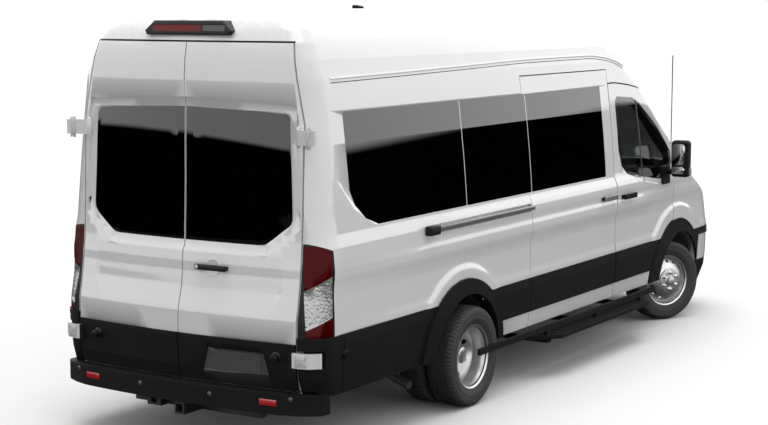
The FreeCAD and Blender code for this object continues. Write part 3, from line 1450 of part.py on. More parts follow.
# seats
def seat(name, x, y, top, width, footSide):
    cushion = brick(name + "Cushion", x, "%s + seatLength" % x, "%s - (%s) / 2" % (y, width),
                    "%s + (%s) / 2" % (y, width), "%s - seatHeight" % top, top)
    back = brick(name + "Back", "%s - backThickness" % x, x, "%s - (%s) / 2" % (y, width),
                 "%s + (%s) / 2" % (y, width), "%s - seatHeight" % top,
                 "%s + backHeight" % top)
    foot = brick(name + "Foot", "%s + seatBaseInset" % x,
                 "%s + seatLength - seatBaseInset" % x,
                 "%s - (%s) / 2 + seatBaseInset" % (y, width),
                 footSide, "floorTop",
                 "%s - seatHeight" % top)
    return joined(name, [cushion, back, foot])


grouped("cab_seats", [
    seat("Driver", "cabSeatX", "cabSeatY", "seatTop", "seatWidth",
         "cabSeatY + seatWidth / 2 - seatBaseInset"),
    seat("Passenger", "cabSeatX", "0 - cabSeatY", "seatTop", "seatWidth",
         "seatWidth / 2 - seatBaseInset - cabSeatY")])
benches = []
for number in range(4):
    place = "(benchFirstX - benchPitch * %d)" % number
    benches.append(seat("Bench%d" % (number + 1), place, "benchY", "benchTop",
                        "benchWidth", "rearHousingInner - seatBaseInset"))
grouped("bench_seats", benches)

# dashboard and steering wheel
dash = brick("Dash", "dashRear", "floorFront", "0 - dashHalf", "dashHalf",
             "dashFoot", "dashHead")
document.recompute()
roundedDash = document.addObject("Part::Fillet", "RoundedDash")
roundedDash.Base = dash
roundedDash.Edges = [(2, S.dashCorner, S.dashCorner)]
node(roundedDash, "dashboard")
tilt = math.radians(S.steeringTilt)
axis = V(-math.sin(tilt), 0, math.cos(tilt))
centre = V(S.steeringX, S.steeringY, S.steeringZ)
rimRing = Part.makeTorus(S.steeringRadius, S.steeringGrip, centre, axis)
column = Part.makeCylinder(S.columnRadius, S.columnLength,
                           centre + V(axis.x, 0, axis.z) * S.steeringGrip, V(-axis.x, 0, -axis.z))
spoke = block(-S.steeringGrip, S.steeringGrip, -S.steeringRadius, S.steeringRadius,
              -S.steeringGrip / 2, S.steeringGrip / 2)
spoke.Placement = FreeCAD.Placement(centre, FreeCAD.Rotation(up, axis))
keep("steering_wheel", rimRing.fuse(spoke).fuse(column).cut(
    block(S.dashRear, S.floorFront, -S.dashHalf, S.dashHalf, S.dashFoot, S.dashHead)))

document.recompute()
for item in document.Objects:
    if "Invalid" in item.State or "Error" in item.State:
        raise ValueError("%s is %s" % (item.Label, item.State))
for item in nodes:
    shape = item.Shape
    if shape.isNull() or not shape.isValid() or not shape.Solids:
        raise ValueError("%s has no valid solid" % item.Label)
    box = shape.BoundBox
    print(item.Label, len(shape.Solids), [round(value) for value in (
        box.XMin, box.XMax, box.YMin, box.YMax, box.ZMin, box.ZMax)])
    shape.exportStep("parts/%s.step" % item.Label)
print(len(nodes), "nodes")
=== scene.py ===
import bpy
import bmesh
import json
import math
from mathutils import Vector, Matrix
from mathutils.bvhtree import BVHTree


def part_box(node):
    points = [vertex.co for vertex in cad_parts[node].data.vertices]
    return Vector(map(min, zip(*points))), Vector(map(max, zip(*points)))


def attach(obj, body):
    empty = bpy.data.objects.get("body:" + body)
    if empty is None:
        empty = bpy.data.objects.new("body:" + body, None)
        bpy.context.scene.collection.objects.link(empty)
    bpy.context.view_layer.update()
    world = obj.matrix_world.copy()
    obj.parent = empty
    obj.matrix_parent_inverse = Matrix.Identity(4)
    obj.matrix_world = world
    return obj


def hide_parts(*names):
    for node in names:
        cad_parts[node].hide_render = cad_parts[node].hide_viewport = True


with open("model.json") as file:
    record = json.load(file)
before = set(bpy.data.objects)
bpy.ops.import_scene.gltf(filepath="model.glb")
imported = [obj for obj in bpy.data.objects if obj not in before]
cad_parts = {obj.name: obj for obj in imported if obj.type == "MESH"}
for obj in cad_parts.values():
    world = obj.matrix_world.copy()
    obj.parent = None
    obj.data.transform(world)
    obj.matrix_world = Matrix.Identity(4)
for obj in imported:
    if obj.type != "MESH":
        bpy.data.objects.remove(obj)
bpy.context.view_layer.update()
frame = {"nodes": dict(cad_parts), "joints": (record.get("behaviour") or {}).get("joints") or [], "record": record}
nodes = frame["nodes"]
sides = ((-1, "right"), (1, "left"))  # the right side lies at -Y
print("frame loaded with", len(nodes), "pieces")


# shared shader groups

def newGroup(name, inputs, outputs):
    group = bpy.data.node_groups.new(name, "ShaderNodeTree")
    for label, kind, value in inputs:
        socket = group.interface.new_socket(name=label, in_out="INPUT", socket_type=kind)
        if value is not None:
            socket.default_value = value
    for label, kind in outputs:
        group.interface.new_socket(name=label, in_out="OUTPUT", socket_type=kind)
    return group, group.nodes.new("NodeGroupInput"), group.nodes.new("NodeGroupOutput")


def mathNode(tree, operation, first, second=None, third=None):
    node = tree.nodes.new("ShaderNodeMath")
    node.operation = operation
    for index, value in enumerate((first, second, third)):
        if value is None:
            continue
        if isinstance(value, (int, float)):
            node.inputs[index].default_value = value
        else:
            tree.links.new(value, node.inputs[index])
    return node.outputs[0]


def noiseNode(tree, vector, scale, detail, rough):
    node = tree.nodes.new("ShaderNodeTexNoise")
    node.inputs["Detail"].default_value = detail
    node.inputs["Roughness"].default_value = rough
    tree.links.new(scale, node.inputs["Scale"])
    tree.links.new(vector, node.inputs["Vector"])
    return node.outputs["Fac"]


# slow patchy change over a surface, used for colour and gloss
group, entry, leave = newGroup("patches", (
    ("Vector", "NodeSocketVector", None), ("Scale", "NodeSocketFloat", 3.0),
    ("Contrast", "NodeSocketFloat", 1.5)), (("Mask", "NodeSocketFloat"),))
cloud = noiseNode(group, entry.outputs["Vector"], entry.outputs["Scale"], 4.0, 0.55)
spread = mathNode(group, "SUBTRACT", cloud, 0.5)
spread = mathNode(group, "MULTIPLY", spread, entry.outputs["Contrast"])
spread = mathNode(group, "ADD", spread, 0.5)
clamped = group.nodes.new("ShaderNodeClamp")
group.links.new(spread, clamped.inputs["Value"])
group.links.new(clamped.outputs[0], leave.inputs["Mask"])
patches = group

# pebbled grain of moulded plastic
group, entry, leave = newGroup("mouldedGrain", (
    ("Vector", "NodeSocketVector", None), ("Scale", "NodeSocketFloat", 400.0)),
    (("Height", "NodeSocketFloat"),))
cells = group.nodes.new("ShaderNodeTexVoronoi")
cells.feature = "SMOOTH_F1"
group.links.new(entry.outputs["Vector"], cells.inputs["Vector"])
group.links.new(entry.outputs["Scale"], cells.inputs["Scale"])
fine = noiseNode(group, entry.outputs["Vector"], entry.outputs["Scale"], 3.0, 0.6)
mixed = mathNode(group, "MULTIPLY_ADD", fine, 0.6, cells.outputs["Distance"])
group.links.new(mixed, leave.inputs["Height"])
mouldedGrain = group

# crossed threads of a woven cover
group, entry, leave = newGroup("weave", (
    ("Vector", "NodeSocketVector", None), ("Threads", "NodeSocketFloat", 500.0)),
    (("Height", "NodeSocketFloat"),))
waves = []
for direction in ("X", "Y", "Z"):
    wave = group.nodes.new("ShaderNodeTexWave")
    wave.bands_direction = direction
    wave.inputs["Distortion"].default_value = 0.4
    group.links.new(entry.outputs["Vector"], wave.inputs["Vector"])
    group.links.new(entry.outputs["Threads"], wave.inputs["Scale"])
    waves.append(wave.outputs["Fac"])
crossed = mathNode(group, "MULTIPLY", waves[0], waves[1])
crossed = mathNode(group, "ADD", crossed, waves[2])
crossed = mathNode(group, "MULTIPLY", crossed, 0.6)
group.links.new(crossed, leave.inputs["Height"])
weave = group


def useGroup(tree, group, vector, **values):
    node = tree.nodes.new("ShaderNodeGroup")
    node.node_tree = group
    tree.links.new(vector, node.inputs["Vector"])
    for label, value in values.items():
        node.inputs[label].default_value = value
    return node


def finish(name, colour, second, rough, metal=0.0, patch=3.0, grain=mouldedGrain,
           grainScale=400.0, depth=0.0, **fixed):
    # one finish: two close colours and two gloss values mixed by patches, and a
    # fine relief from the chosen group where it has a depth
    material = bpy.data.materials.new(name)
    material.use_nodes = True
    tree = material.node_tree
    shader = tree.nodes["Principled BSDF"]
    spot = tree.nodes.new("ShaderNodeTexCoord").outputs["Object"]
    mask = useGroup(tree, patches, spot, Scale=patch).outputs["Mask"]
    blend = tree.nodes.new("ShaderNodeMix")
    blend.data_type = "RGBA"
    blend.inputs["A"].default_value = (*colour, 1)
    blend.inputs["B"].default_value = (*second, 1)
    tree.links.new(mask, blend.inputs["Factor"])
    tree.links.new(blend.outputs["Result"], shader.inputs["Base Color"])
    gloss = tree.nodes.new("ShaderNodeMapRange")
    gloss.inputs["To Min"].default_value = rough[0]
    gloss.inputs["To Max"].default_value = rough[1]
    tree.links.new(mask, gloss.inputs["Value"])
    tree.links.new(gloss.outputs["Result"], shader.inputs["Roughness"])
    shader.inputs["Metallic"].default_value = metal
    for label, value in fixed.items():
        shader.inputs[label.replace("_", " ")].default_value = value
    if depth:
        label = "Threads" if grain is weave else "Scale"
        relief = useGroup(tree, grain, spot, **{label: grainScale})
        bump = tree.nodes.new("ShaderNodeBump")
        bump.inputs["Distance"].default_value = depth
        tree.links.new(relief.outputs["Height"], bump.inputs["Height"])
        tree.links.new(bump.outputs["Normal"], shader.inputs["Normal"])
    return material


def grey(value):
    return (value, value, value)


whitePaint = finish("whitePaint", grey(0.80), (0.775, 0.777, 0.78), (0.42, 0.5), patch=1.6,
                    grainScale=900, depth=0.00003, Coat_Weight=1.0, Coat_Roughness=0.03,
                    Specular_IOR_Level=0.3)
blackPlastic = finish("blackPlastic", (0.007, 0.007, 0.0073), (0.0105, 0.0105, 0.0108),
                      (0.55, 0.68), patch=5, grainScale=520, depth=0.0004,
                      Specular_IOR_Level=0.09)
satinBlack = finish("satinBlack", (0.009, 0.009, 0.0095), (0.013, 0.013, 0.0135),
                    (0.34, 0.46), patch=6, grainScale=900, depth=0.00012,
                    Specular_IOR_Level=0.18)
# dark joint lines; below the gutter the same finish is also painted shadow
jointAndShadowDark = finish("jointAndShadowDark", grey(0.02), grey(0.04), (0.6, 0.7), patch=20)
darkGlass = finish("darkGlass", grey(0.0006), grey(0.0008), (0.0, 0.02), patch=0.8,
                   Transmission_Weight=0.0, IOR=1.5)
clearGlass = finish("clearGlass", (0.5, 0.52, 0.52), (0.47, 0.49, 0.5), (0.0, 0.015),
                    patch=0.8, Transmission_Weight=1.0, IOR=1.45)
doorGlass = finish("doorGlass", (0.13, 0.135, 0.135), (0.12, 0.125, 0.128), (0.0, 0.015),
                   patch=0.8, Transmission_Weight=1.0, IOR=1.45)
rubber = finish("rubber", grey(0.018), grey(0.03), (0.62, 0.8), patch=9, grainScale=650,
                depth=0.0003)
silverSteel = finish("silverSteel", grey(0.55), (0.47, 0.47, 0.475), (0.3, 0.42),
                     metal=0.75, patch=14, grainScale=1500, depth=0.00003)
brightSteel = finish("brightSteel", grey(0.74), (0.62, 0.62, 0.63), (0.16, 0.3), metal=1.0,
                     patch=20)
bareSteel = finish("bareSteel", (0.3, 0.29, 0.28), (0.2, 0.19, 0.18), (0.4, 0.6), metal=0.9,
                   patch=30, grainScale=700, depth=0.0001)
castIron = finish("castIron", (0.06, 0.058, 0.055), (0.1, 0.095, 0.09), (0.6, 0.8),
                  metal=0.6, patch=12, grainScale=300, depth=0.0006)
blackSteel = finish("blackSteel", grey(0.018), (0.03, 0.029, 0.028), (0.4, 0.6), metal=0.2,
                    patch=10, grainScale=500, depth=0.0002)
darkFloor = finish("darkFloor", (0.03, 0.03, 0.032), (0.045, 0.045, 0.046), (0.7, 0.9),
                   patch=7, grainScale=250, depth=0.0006)
tankPlastic = finish("tankPlastic", grey(0.02), grey(0.03), (0.45, 0.6), patch=8,
                     grainScale=300, depth=0.0004)
dashPlastic = finish("dashPlastic", (0.035, 0.035, 0.037), (0.045, 0.045, 0.047),
                     (0.55, 0.7), patch=5, grainScale=450, depth=0.0004)
seatFabric = finish("seatFabric", (0.075, 0.075, 0.08), (0.11, 0.11, 0.115), (0.85, 0.95),
                    patch=14, grain=weave, grainScale=260, depth=0.0006, Sheen_Weight=0.4)
redLens = finish("redLens", (0.055, 0.0008, 0.0008), (0.1, 0.001, 0.001), (0.15, 0.3),
                 patch=30, grainScale=130, depth=0.0015, Coat_Weight=0.05,
                 Coat_Roughness=0.05, Specular_IOR_Level=0.06)
redReflector = finish("redReflector", (0.45, 0.01, 0.012), (0.6, 0.02, 0.02), (0.1, 0.2),
                      patch=60, grainScale=260, depth=0.001, Coat_Weight=1.0)
brightRed = finish("brightRed", (0.15, 0.012, 0.012), (0.2, 0.018, 0.018), (0.15, 0.3),
                   patch=30, grainScale=200, depth=0.001, Coat_Weight=0.1,
                   Specular_IOR_Level=0.1)
clearLens = finish("clearLens", grey(0.26), grey(0.42), (0.15, 0.35), metal=0.4, patch=40,
                   grainScale=70, depth=0.003, Coat_Weight=0.3)
plateGrey = finish("plateGrey", grey(0.052), grey(0.06), (0.5, 0.6), patch=9,
                   grainScale=800, depth=0.0001)
plateFace = finish("plateFace", grey(0.058), grey(0.068), (0.4, 0.5), patch=12,
                   grainScale=900, depth=0.00005)
hingeMetal = finish("hingeMetal", grey(0.62), (0.54, 0.54, 0.545), (0.35, 0.5), metal=0.15,
                    patch=25, grainScale=1200, depth=0.00005)
railShade = finish("railShade", grey(0.2), grey(0.26), (0.3, 0.4), metal=0.7, patch=12)
sensorGrey = finish("sensorGrey", grey(0.06), grey(0.09), (0.3, 0.4), patch=40)
mirrorGlass = finish("mirrorGlass", (0.32, 0.32, 0.33), (0.28, 0.28, 0.29), (0.02, 0.05),
                     metal=1.0, patch=3)
dividerGrey = finish("dividerGrey", grey(0.035), grey(0.05), (0.35, 0.45), patch=10)

# painted shade: below a set height the dark windows hardly shine, their reflection turned down so the lower part
# shows darker
lowGlassShade = {"From Min": 1.54, "From Max": 1.6, "To Min": 0.02, "To Max": 0.5}
tree = darkGlass.node_tree
parts = tree.nodes.new("ShaderNodeSeparateXYZ")
tree.links.new(tree.nodes.new("ShaderNodeTexCoord").outputs["Object"], parts.inputs[0])
ramp = tree.nodes.new("ShaderNodeMapRange")
for label, value in lowGlassShade.items():
    ramp.inputs[label].default_value = value
tree.links.new(parts.outputs["Z"], ramp.inputs["Value"])
tree.links.new(ramp.outputs["Result"],
               tree.nodes["Principled BSDF"].inputs["Specular IOR Level"])
print("finishes ready")

slotFinish = {
    "white_paint": whitePaint, "black_plastic": blackPlastic, "dark_glass": darkGlass,
    "red_lamp": redLens, "clear_lamp": clearLens, "tyre": rubber,
    "silver_steel": silverSteel, "bare_steel": bareSteel, "cast_iron": castIron,
    "black_steel": blackSteel, "dark_floor": darkFloor, "tank_plastic": tankPlastic,
    "seat_fabric": seatFabric, "dash_plastic": dashPlastic,
}
partSlot = {}
for row in frame["record"]["subparts"]:
    partSlot[row["node"]] = row.get("material") or row.get("material_slot")
for name, item in nodes.items():
    chosen = slotFinish.get(partSlot.get(name), blackPlastic)
    for materialSlot in item.material_slots:
        materialSlot.material = chosen


# helpers for new pieces

def fade(value, start, end):
    # 0 before the start, 1 past the end, smooth between
    t = min(max((value - start) / (end - start), 0.0), 1.0)
    return t * t * (3 - 2 * t)


def bell(value, middle, half):
    # 1 in the middle, 0 past the half width
    t = min(abs(value - middle) / half, 1.0)
    return (1 - t * t) ** 2


def steps(start, step, count):
    # evenly spaced values
    return [start + step * n for n in range(count)]


def linked(name, data):
    item = bpy.data.objects.new(name, data)
    bpy.context.scene.collection.objects.link(item)
    return item


def place(mesh, name, body, material, slot, sharp):
    # turns a finished bmesh into a piece that rides on a body
    data = bpy.data.meshes.new(name)
    mesh.normal_update()
    mesh.to_mesh(data)
    mesh.free()
    data.shade_smooth()
    data.set_sharp_from_angle(angle=math.radians(sharp))
    item = linked(name, data)
    for one in material if isinstance(material, list) else [material]:
        data.materials.append(one)
    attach(item, body)
    return item


def placeAt(grid, mesh, *piece):
    # the same for a mesh made in its own frame
    bmesh.ops.transform(mesh, matrix=grid, verts=mesh.verts)
    return place(mesh, *piece)


def copied(nodeName):
    # a merged copy of a part's mesh, with its flat faces joined
    mesh = bmesh.new()
    mesh.from_mesh(nodes[nodeName].data)
    bmesh.ops.remove_doubles(mesh, verts=mesh.verts, dist=0.00002)
    bmesh.ops.dissolve_limit(mesh, angle_limit=math.radians(0.15), verts=mesh.verts,
                             edges=mesh.edges, delimit={"NORMAL"})
    return mesh


def split(mesh, faces, point, normal):
    # cuts the given faces along a plane
    edges = {edge for face in faces for edge in face.edges}
    verts = {vert for face in faces for vert in face.verts}
    bmesh.ops.bisect_plane(mesh, geom=faces + list(edges) + list(verts), dist=0.00001,
                           plane_co=point, plane_no=normal)


def sliced(mesh, axis, levels, test):
    # cuts the faces that pass the test at each level of one axis
    normal = Vector((0, 0, 0))
    normal[axis] = 1
    for level in levels:
        faces = [face for face in mesh.faces if test(face)
                 and min(v.co[axis] for v in face.verts) < level
                 < max(v.co[axis] for v in face.verts)]
        if faces:
            split(mesh, faces, normal * level, normal)


def bevelled(mesh, edges, radius, segments, clamp=False):
    bmesh.ops.bevel(mesh, geom=edges, offset=radius, offset_type="OFFSET",
                    segments=segments, profile=0.5, affect="EDGES", material=-1,
                    clamp_overlap=clamp)


def inset(mesh, faces, thickness, depth, even=True):
    bmesh.ops.inset_region(mesh, faces=faces, thickness=thickness, depth=depth,
                           use_even_offset=even)


def treeOf(*names):
    # a search tree of some pieces' plain solids
    mesh = bmesh.new()
    for name in names:
        mesh.from_mesh(nodes[name].data)
    tree = BVHTree.FromBMesh(mesh)
    mesh.free()
    return tree


def shoot(tree, start, heading):
    # the first place a ray meets, and the direction of the surface there
    return tree.ray_cast(Vector(start), Vector(heading))[:2]


# body skin: the pressed panels with their creases

side = {
    "waistZ": 1.115, "waistHalf": 0.105, "waistDepth": 0.011,
    "waistRear": (-3.0, -1.9), "waistFront": (1.45, 1.8),
    "shoulderOut": 0.008, "shoulderHead": (1.315, 1.365), "shoulderFoot": (1.19, 1.27),
    "shoulderRear": (-2.1, -1.2),
    "lipOut": 0.006, "lipHead": (0.79, 0.84), "lipRear": (-2.9, -2.2),
    # centre x and z, radius and reach of the ridges round the wheels
    "ridges": ((2.240, 0.340, 0.560, 0.145), (-1.525, 0.340, 0.556, 0.106)),
    "ridgeSlope": 0.04, "ridgeOut": 0.016,
    # black edge of the wheel openings: width, highest z and nearest y
    "archEdge": 0.006, "archHead": 1.0, "archSide": 0.6,
    "windowFoot": (1.355, 1.382), "skin": (0.74, 1.42),
    "cutsX": (-3.05, 0.035, 170), "cutsZ": (0.77, 0.012, 54),
}


def sideShift(x, z):
    # how far the pressed shape stands outside the plain side
    s = side
    waist = -s["waistDepth"] * bell(z, s["waistZ"], s["waistHalf"])
    waist *= fade(x, *s["waistRear"]) * (1 - fade(x, *s["waistFront"]))
    shoulder = s["shoulderOut"] * (1 - fade(z, *s["shoulderHead"]))
    shoulder *= fade(z, *s["shoulderFoot"]) * fade(x, *s["shoulderRear"])
    out = s["lipOut"] * (1 - fade(z, *s["lipHead"])) * fade(x, *s["lipRear"])
    for centreX, centreZ, radius, reach in s["ridges"]:
        away = math.hypot(x - centreX, z - centreZ) - radius
        ridge = 1 - fade(away, reach - s["ridgeSlope"], reach)
        out = max(out, s["ridgeOut"] * ridge)
    window = 1 - fade(z, *s["windowFoot"])
    return (waist * (1 - min(out / s["ridgeOut"], 1)) + shoulder + out) * window


rear = {
    "paneTop": 2.144, "paneFoot": 1.292, "paneHalf": 0.775, "paneFootHalf": 0.588,
    "headHalf": 0.748, "cornerZ": 1.432, "crown": 0.032,
    "wallZ": (1.15, 2.3), "wallInset": (-0.085, -0.035), "wallDepth": 0.01, "slant": 0.024,
    "bandTop": 1.012, "bandFoot": 0.885, "bandHalf": 0.72, "bandDraw": 0.09,
    "bandEdge": 0.012, "bandDepth": 0.011, "fadeStart": 1.012, "fadeEnd": 1.215,
    "skinX": -3.1, "cutsY": (-0.85, 0.025, 69), "cutsZ": (0.86, 0.0125, 28),
    "cutHead": 1.21, "seamHalf": 0.012,
    # upper strap: height, where it starts to be drawn in and by what share
    "upperStrap": (1.9, 2.0), "strapX": -3.15, "strapY": 0.93, "strapDraw": 0.5,
    "lowerStrap": (0.58, 0.69), "lowerStrapX": -3.2, "trimY": 0.836,
}


def paneInset(y, z):
    # how far a point lies inside the outline of the rear windows
    r = rear
    y = abs(y)
    top = r["paneTop"] - r["crown"] * (y / r["headHalf"]) ** 2 - z
    foot = z - r["paneFoot"]
    edge = (r["paneHalf"] - (r["paneHalf"] - r["headHalf"]) * (z - r["cornerZ"])
            / (r["paneTop"] - r["cornerZ"]) - y)
    slant = Vector((r["cornerZ"] - r["paneFoot"],
                    r["paneHalf"] - r["paneFootHalf"])).normalized()
    corner = (r["paneFootHalf"] - y) * slant.x + (z - r["paneFoot"]) * slant.y
    return min(top, foot, edge, corner)


def rearShift(y, z):
    # how far the pressed shape lies inside the plain rear doors
    r = rear
    if not r["bandFoot"] < z < r["fadeEnd"]:
        return 0.0
    rise = min((z - r["bandFoot"]) / (r["bandTop"] - r["bandFoot"]), 1)
    half = r["bandHalf"] - r["bandDraw"] * (1 - rise)
    edge = 1 - fade(abs(y), half - r["bandEdge"], half + r["bandEdge"])
    back = min(max((z - r["fadeStart"]) / (r["fadeEnd"] - r["fadeStart"]), 0), 1)
    return r["bandDepth"] * rise * (1 - back) * edge


skinNodes = ["side_panel_left", "side_panel_right", "sliding_door", "front_door_left",
             "front_door_right", "rear_door_left", "rear_door_right", "fenders",
             "windshield_frame", "roof_panel", "hood"]
bodyOf = {}
for bodyName, members in frame["record"]["behaviour"]["bodies"].items():
    for member in members:
        bodyOf[member] = bodyName

# the plain skin answers where the surface lies
skinTree = treeOf(*skinNodes, "side_glass", "rear_door_glass_left", "rear_door_glass_right",
                  "front_door_glass_left", "front_door_glass_right", "windshield",
                  "tail_lamps", "rear_bumper", "front_bumper", "headlamps", "grille",
                  "rear_door_trim_left", "rear_door_trim_right")


def onSide(x, z, hand=-1):
    return shoot(skinTree, (x, hand * 3, z), (0, -hand, 0))


def onRear(y, z):
    return shoot(skinTree, (-6, y, z), (1, 0, 0))


def sideSkin(face):
    centre = face.calc_center_median()
    return (abs(face.normal.y) > 0.9 and face.normal.y * centre.y > 0
            and side["skin"][0] < centre.z < side["skin"][1])


def rearSkin(face):
    return face.normal.x < -0.8 and face.calc_center_median().x < rear["skinX"]


def bandSkin(face):
    return (rearSkin(face)
            and rear["cutsZ"][0] < face.calc_center_median().z < rear["cutHead"])


def strapFace(face):
    centre = face.calc_center_median()
    low, high = rear["lowerStrap"]
    return centre.x < rear["lowerStrapX"] and low < centre.z < high


windows = {
    "radius": 0.055, "segments": 6, "edgeLength": (0.0015, 0.07), "leastTurn": 0.35,
    "sideX": (-3.0, 0.9), "sideZ": (1.36, 2.16), "rearX": -3.0, "rearY": 0.1,
    "rearZ": (1.2, 2.25),
}


def inWindow(spot, axis):
    w = windows
    low, high = w["sideZ"] if axis == 1 else w["rearZ"]
    if axis == 1:
        near = w["sideX"][0] < spot.x < w["sideX"][1]
    else:
        near = abs(spot.y) > w["rearY"] and spot.x < w["rearX"]
    return near and low < spot.z < high


def roundCorners(mesh, axis):
    # rounds the sharp corners of the openings and panes: axis 1 on the sides, 0 behind
    low, high = windows["edgeLength"]
    chosen = []
    for edge in mesh.edges:
        if len(edge.link_faces) != 2 or not low < edge.calc_length() < high:
            continue
        way = (edge.verts[1].co - edge.verts[0].co).normalized()
        middle = (edge.verts[0].co + edge.verts[1].co) / 2
        first, second = (face.normal for face in edge.link_faces)
        if (abs(way[axis]) > 0.75 and inWindow(middle, axis) and abs(first[axis]) < 0.5
                and abs(second[axis]) < 0.5
                and first.angle(second, 0) > windows["leastTurn"]):
            chosen.append(edge)
    if chosen:
        bevelled(mesh, chosen, windows["radius"], windows["segments"], True)


def pressSide(mesh):
    sliced(mesh, 2, steps(*side["cutsZ"]), sideSkin)
    sliced(mesh, 0, steps(*side["cutsX"]), sideSkin)
    for vert in {v for face in mesh.faces if sideSkin(face) for v in face.verts}:
        vert.co.y += math.copysign(sideShift(vert.co.x, vert.co.z), vert.co.y)


def shapeStraps(mesh):
    # the upper strap ends nearer to the pillar, the lower one lies under the trim
    r = rear
    low, high = r["upperStrap"]
    for vert in mesh.verts:
        past = abs(vert.co.y) - r["strapY"]
        if low < vert.co.z < high and past > 0 and vert.co.x < r["strapX"]:
            vert.co.y -= math.copysign(past * r["strapDraw"], vert.co.y)
    sliced(mesh, 1, (-r["trimY"], r["trimY"]), strapFace)
    for face in mesh.faces:
        if strapFace(face) and abs(face.calc_center_median().y) < r["trimY"]:
            face.material_index = 1


def slantWalls(mesh):
    # the walls of the window recess become slopes
    r = rear
    walls = {}
    for edge in mesh.edges:
        outer, inner = sorted(edge.verts, key=lambda vert: vert.co.x)
        way = inner.co - outer.co
        centre = (inner.co + outer.co) / 2
        if (way.x > r["wallDepth"] and way.x > 0.95 * way.length and centre.x < r["skinX"]
                and r["wallZ"][0] < centre.z < r["wallZ"][1]
                and r["wallInset"][0] < paneInset(centre.y, centre.z) < r["wallInset"][1]):
            walls[inner] = [face.normal for face in edge.link_faces
                            if abs(centre.y) > r["seamHalf"] or abs(face.normal.y) < 0.9]
    for vert, normals in walls.items():
        push = sum(normals, Vector())
        push.x = 0
        if push.length > 0.1:
            vert.co += push.normalized() * r["slant"]


def pressRear(mesh):
    r = rear
    shapeStraps(mesh)
    slantWalls(mesh)
    ends = [hand * (r["bandHalf"] + edge) for hand in (-1, 1)
            for edge in (r["bandEdge"], -r["bandEdge"])]
    sliced(mesh, 2, steps(*r["cutsZ"]) + [r["bandFoot"], r["bandTop"]], rearSkin)
    sliced(mesh, 1, steps(*r["cutsY"]) + ends, bandSkin)
    for vert in {v for face in mesh.faces if rearSkin(face) for v in face.verts}:
        vert.co.x += rearShift(vert.co.y, vert.co.z)


def blackArches(mesh):
    # edges of the wheel openings are black
    for face in mesh.faces:
        centre = face.calc_center_median()
        if (abs(face.normal.y) > 0.6 or centre.z > side["archHead"]
                or abs(centre.y) < side["archSide"]):
            continue
        for centreX, centreZ, radius, reach in side["ridges"]:
            away = math.hypot(centre.x - centreX, centre.z - centreZ)
            if away < radius + side["archEdge"]:
                face.material_index = 1


for name in skinNodes:
    mesh = copied(name)
    if name in ("side_panel_left", "side_panel_right", "sliding_door"):
        roundCorners(mesh, 1)
    if name.startswith("rear_door"):
        roundCorners(mesh, 0)
        pressRear(mesh)
    if name.startswith(("side_", "sliding", "front_door", "fenders")):
        pressSide(mesh)
    blackArches(mesh)
    item = place(mesh, name.replace("_", "-") + "-skin", bodyOf[name],
                 [whitePaint, blackPlastic], "white_paint", 28)
    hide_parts(name)
print("body skin ready")

# glass
panes = {
    "side_glass": darkGlass, "rear_door_glass_left": darkGlass,
    "rear_door_glass_right": darkGlass, "front_door_glass_left": doorGlass,
    "front_door_glass_right": doorGlass, "windshield": clearGlass,
}
for name, material in panes.items():
    mesh = copied(name)
    if name == "side_glass":
        roundCorners(mesh, 1)
    if name.startswith("rear_door"):
        roundCorners(mesh, 0)
    item = place(mesh, name.replace("_", "-") + "-pane", bodyOf[name], material,
                 "dark_glass", 28)
    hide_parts(name)
print("glass ready")


# wheels: a spun tyre with cut tread, a pressed rim with hand holes

def turned(outline, steps, closed=False):
    # spins (along, radius) points round the Z axis
    mesh = bmesh.new()
    verts = [mesh.verts.new((radius, 0, along)) for along, radius in outline]
    edges = [mesh.edges.new(pair) for pair in zip(verts, verts[1:])]
    if closed:
        edges.append(mesh.edges.new((verts[-1], verts[0])))
    bmesh.ops.spin(mesh, geom=verts + edges, cent=(0, 0, 0), axis=(0, 0, 1),
                   angle=math.tau, steps=steps, use_merge=True, use_duplicate=False)
    bmesh.ops.remove_doubles(mesh, verts=mesh.verts, dist=0.000001)
    bmesh.ops.recalc_face_normals(mesh, faces=mesh.faces)
    return mesh


def join(target, part, matrix=None, finishIndex=0):
    # adds one mesh to another with its own place and finish
    for face in part.faces:
        face.material_index = finishIndex
    if matrix is not None:
        bmesh.ops.transform(part, matrix=matrix, verts=part.verts)
    data = bpy.data.meshes.new("part")
    part.to_mesh(data)
    part.free()
    target.from_mesh(data)
    bpy.data.meshes.remove(data)


def aimed(centre, axis, turn=0.0):
    # a frame whose Z axis points along the given axis
    frameTurn = Vector(axis).to_track_quat("Z", "Y").to_matrix().to_4x4()
    return (Matrix.Translation(Vector(centre)) @ frameTurn
            @ Matrix.Rotation(math.radians(turn), 4, "Z"))


tyre = {
    "steps": 150, "sipeInset": 0.0042, "sipeDepth": -0.0055, "midInset": 0.0055,
    # blocks cut in the tread: low and high place along the axle, least radius
    "edge": (0.0565, 0.0925, 0.33), "mid": (0.0275, 0.046, 0.343),
    "half": ((0.0, 0.346), (0.0165, 0.346), (0.0182, 0.338), (0.0258, 0.338),
             (0.0275, 0.3458), (0.046, 0.3452), (0.0478, 0.3375), (0.0547, 0.3375),
             (0.0565, 0.3446), (0.070, 0.3425), (0.083, 0.338), (0.0905, 0.330),
             (0.0942, 0.319), (0.0945, 0.3165), (0.0965, 0.314), (0.0975, 0.298),
             (0.0974, 0.282), (0.0962, 0.269), (0.0972, 0.2665), (0.096, 0.264),
             (0.0935, 0.251), (0.0905, 0.241), (0.0885, 0.2395), (0.0862, 0.232),
             (0.0815, 0.2225), (0.0785, 0.2206), (0.0747, 0.2204), (0.0747, 0.2043)),
}


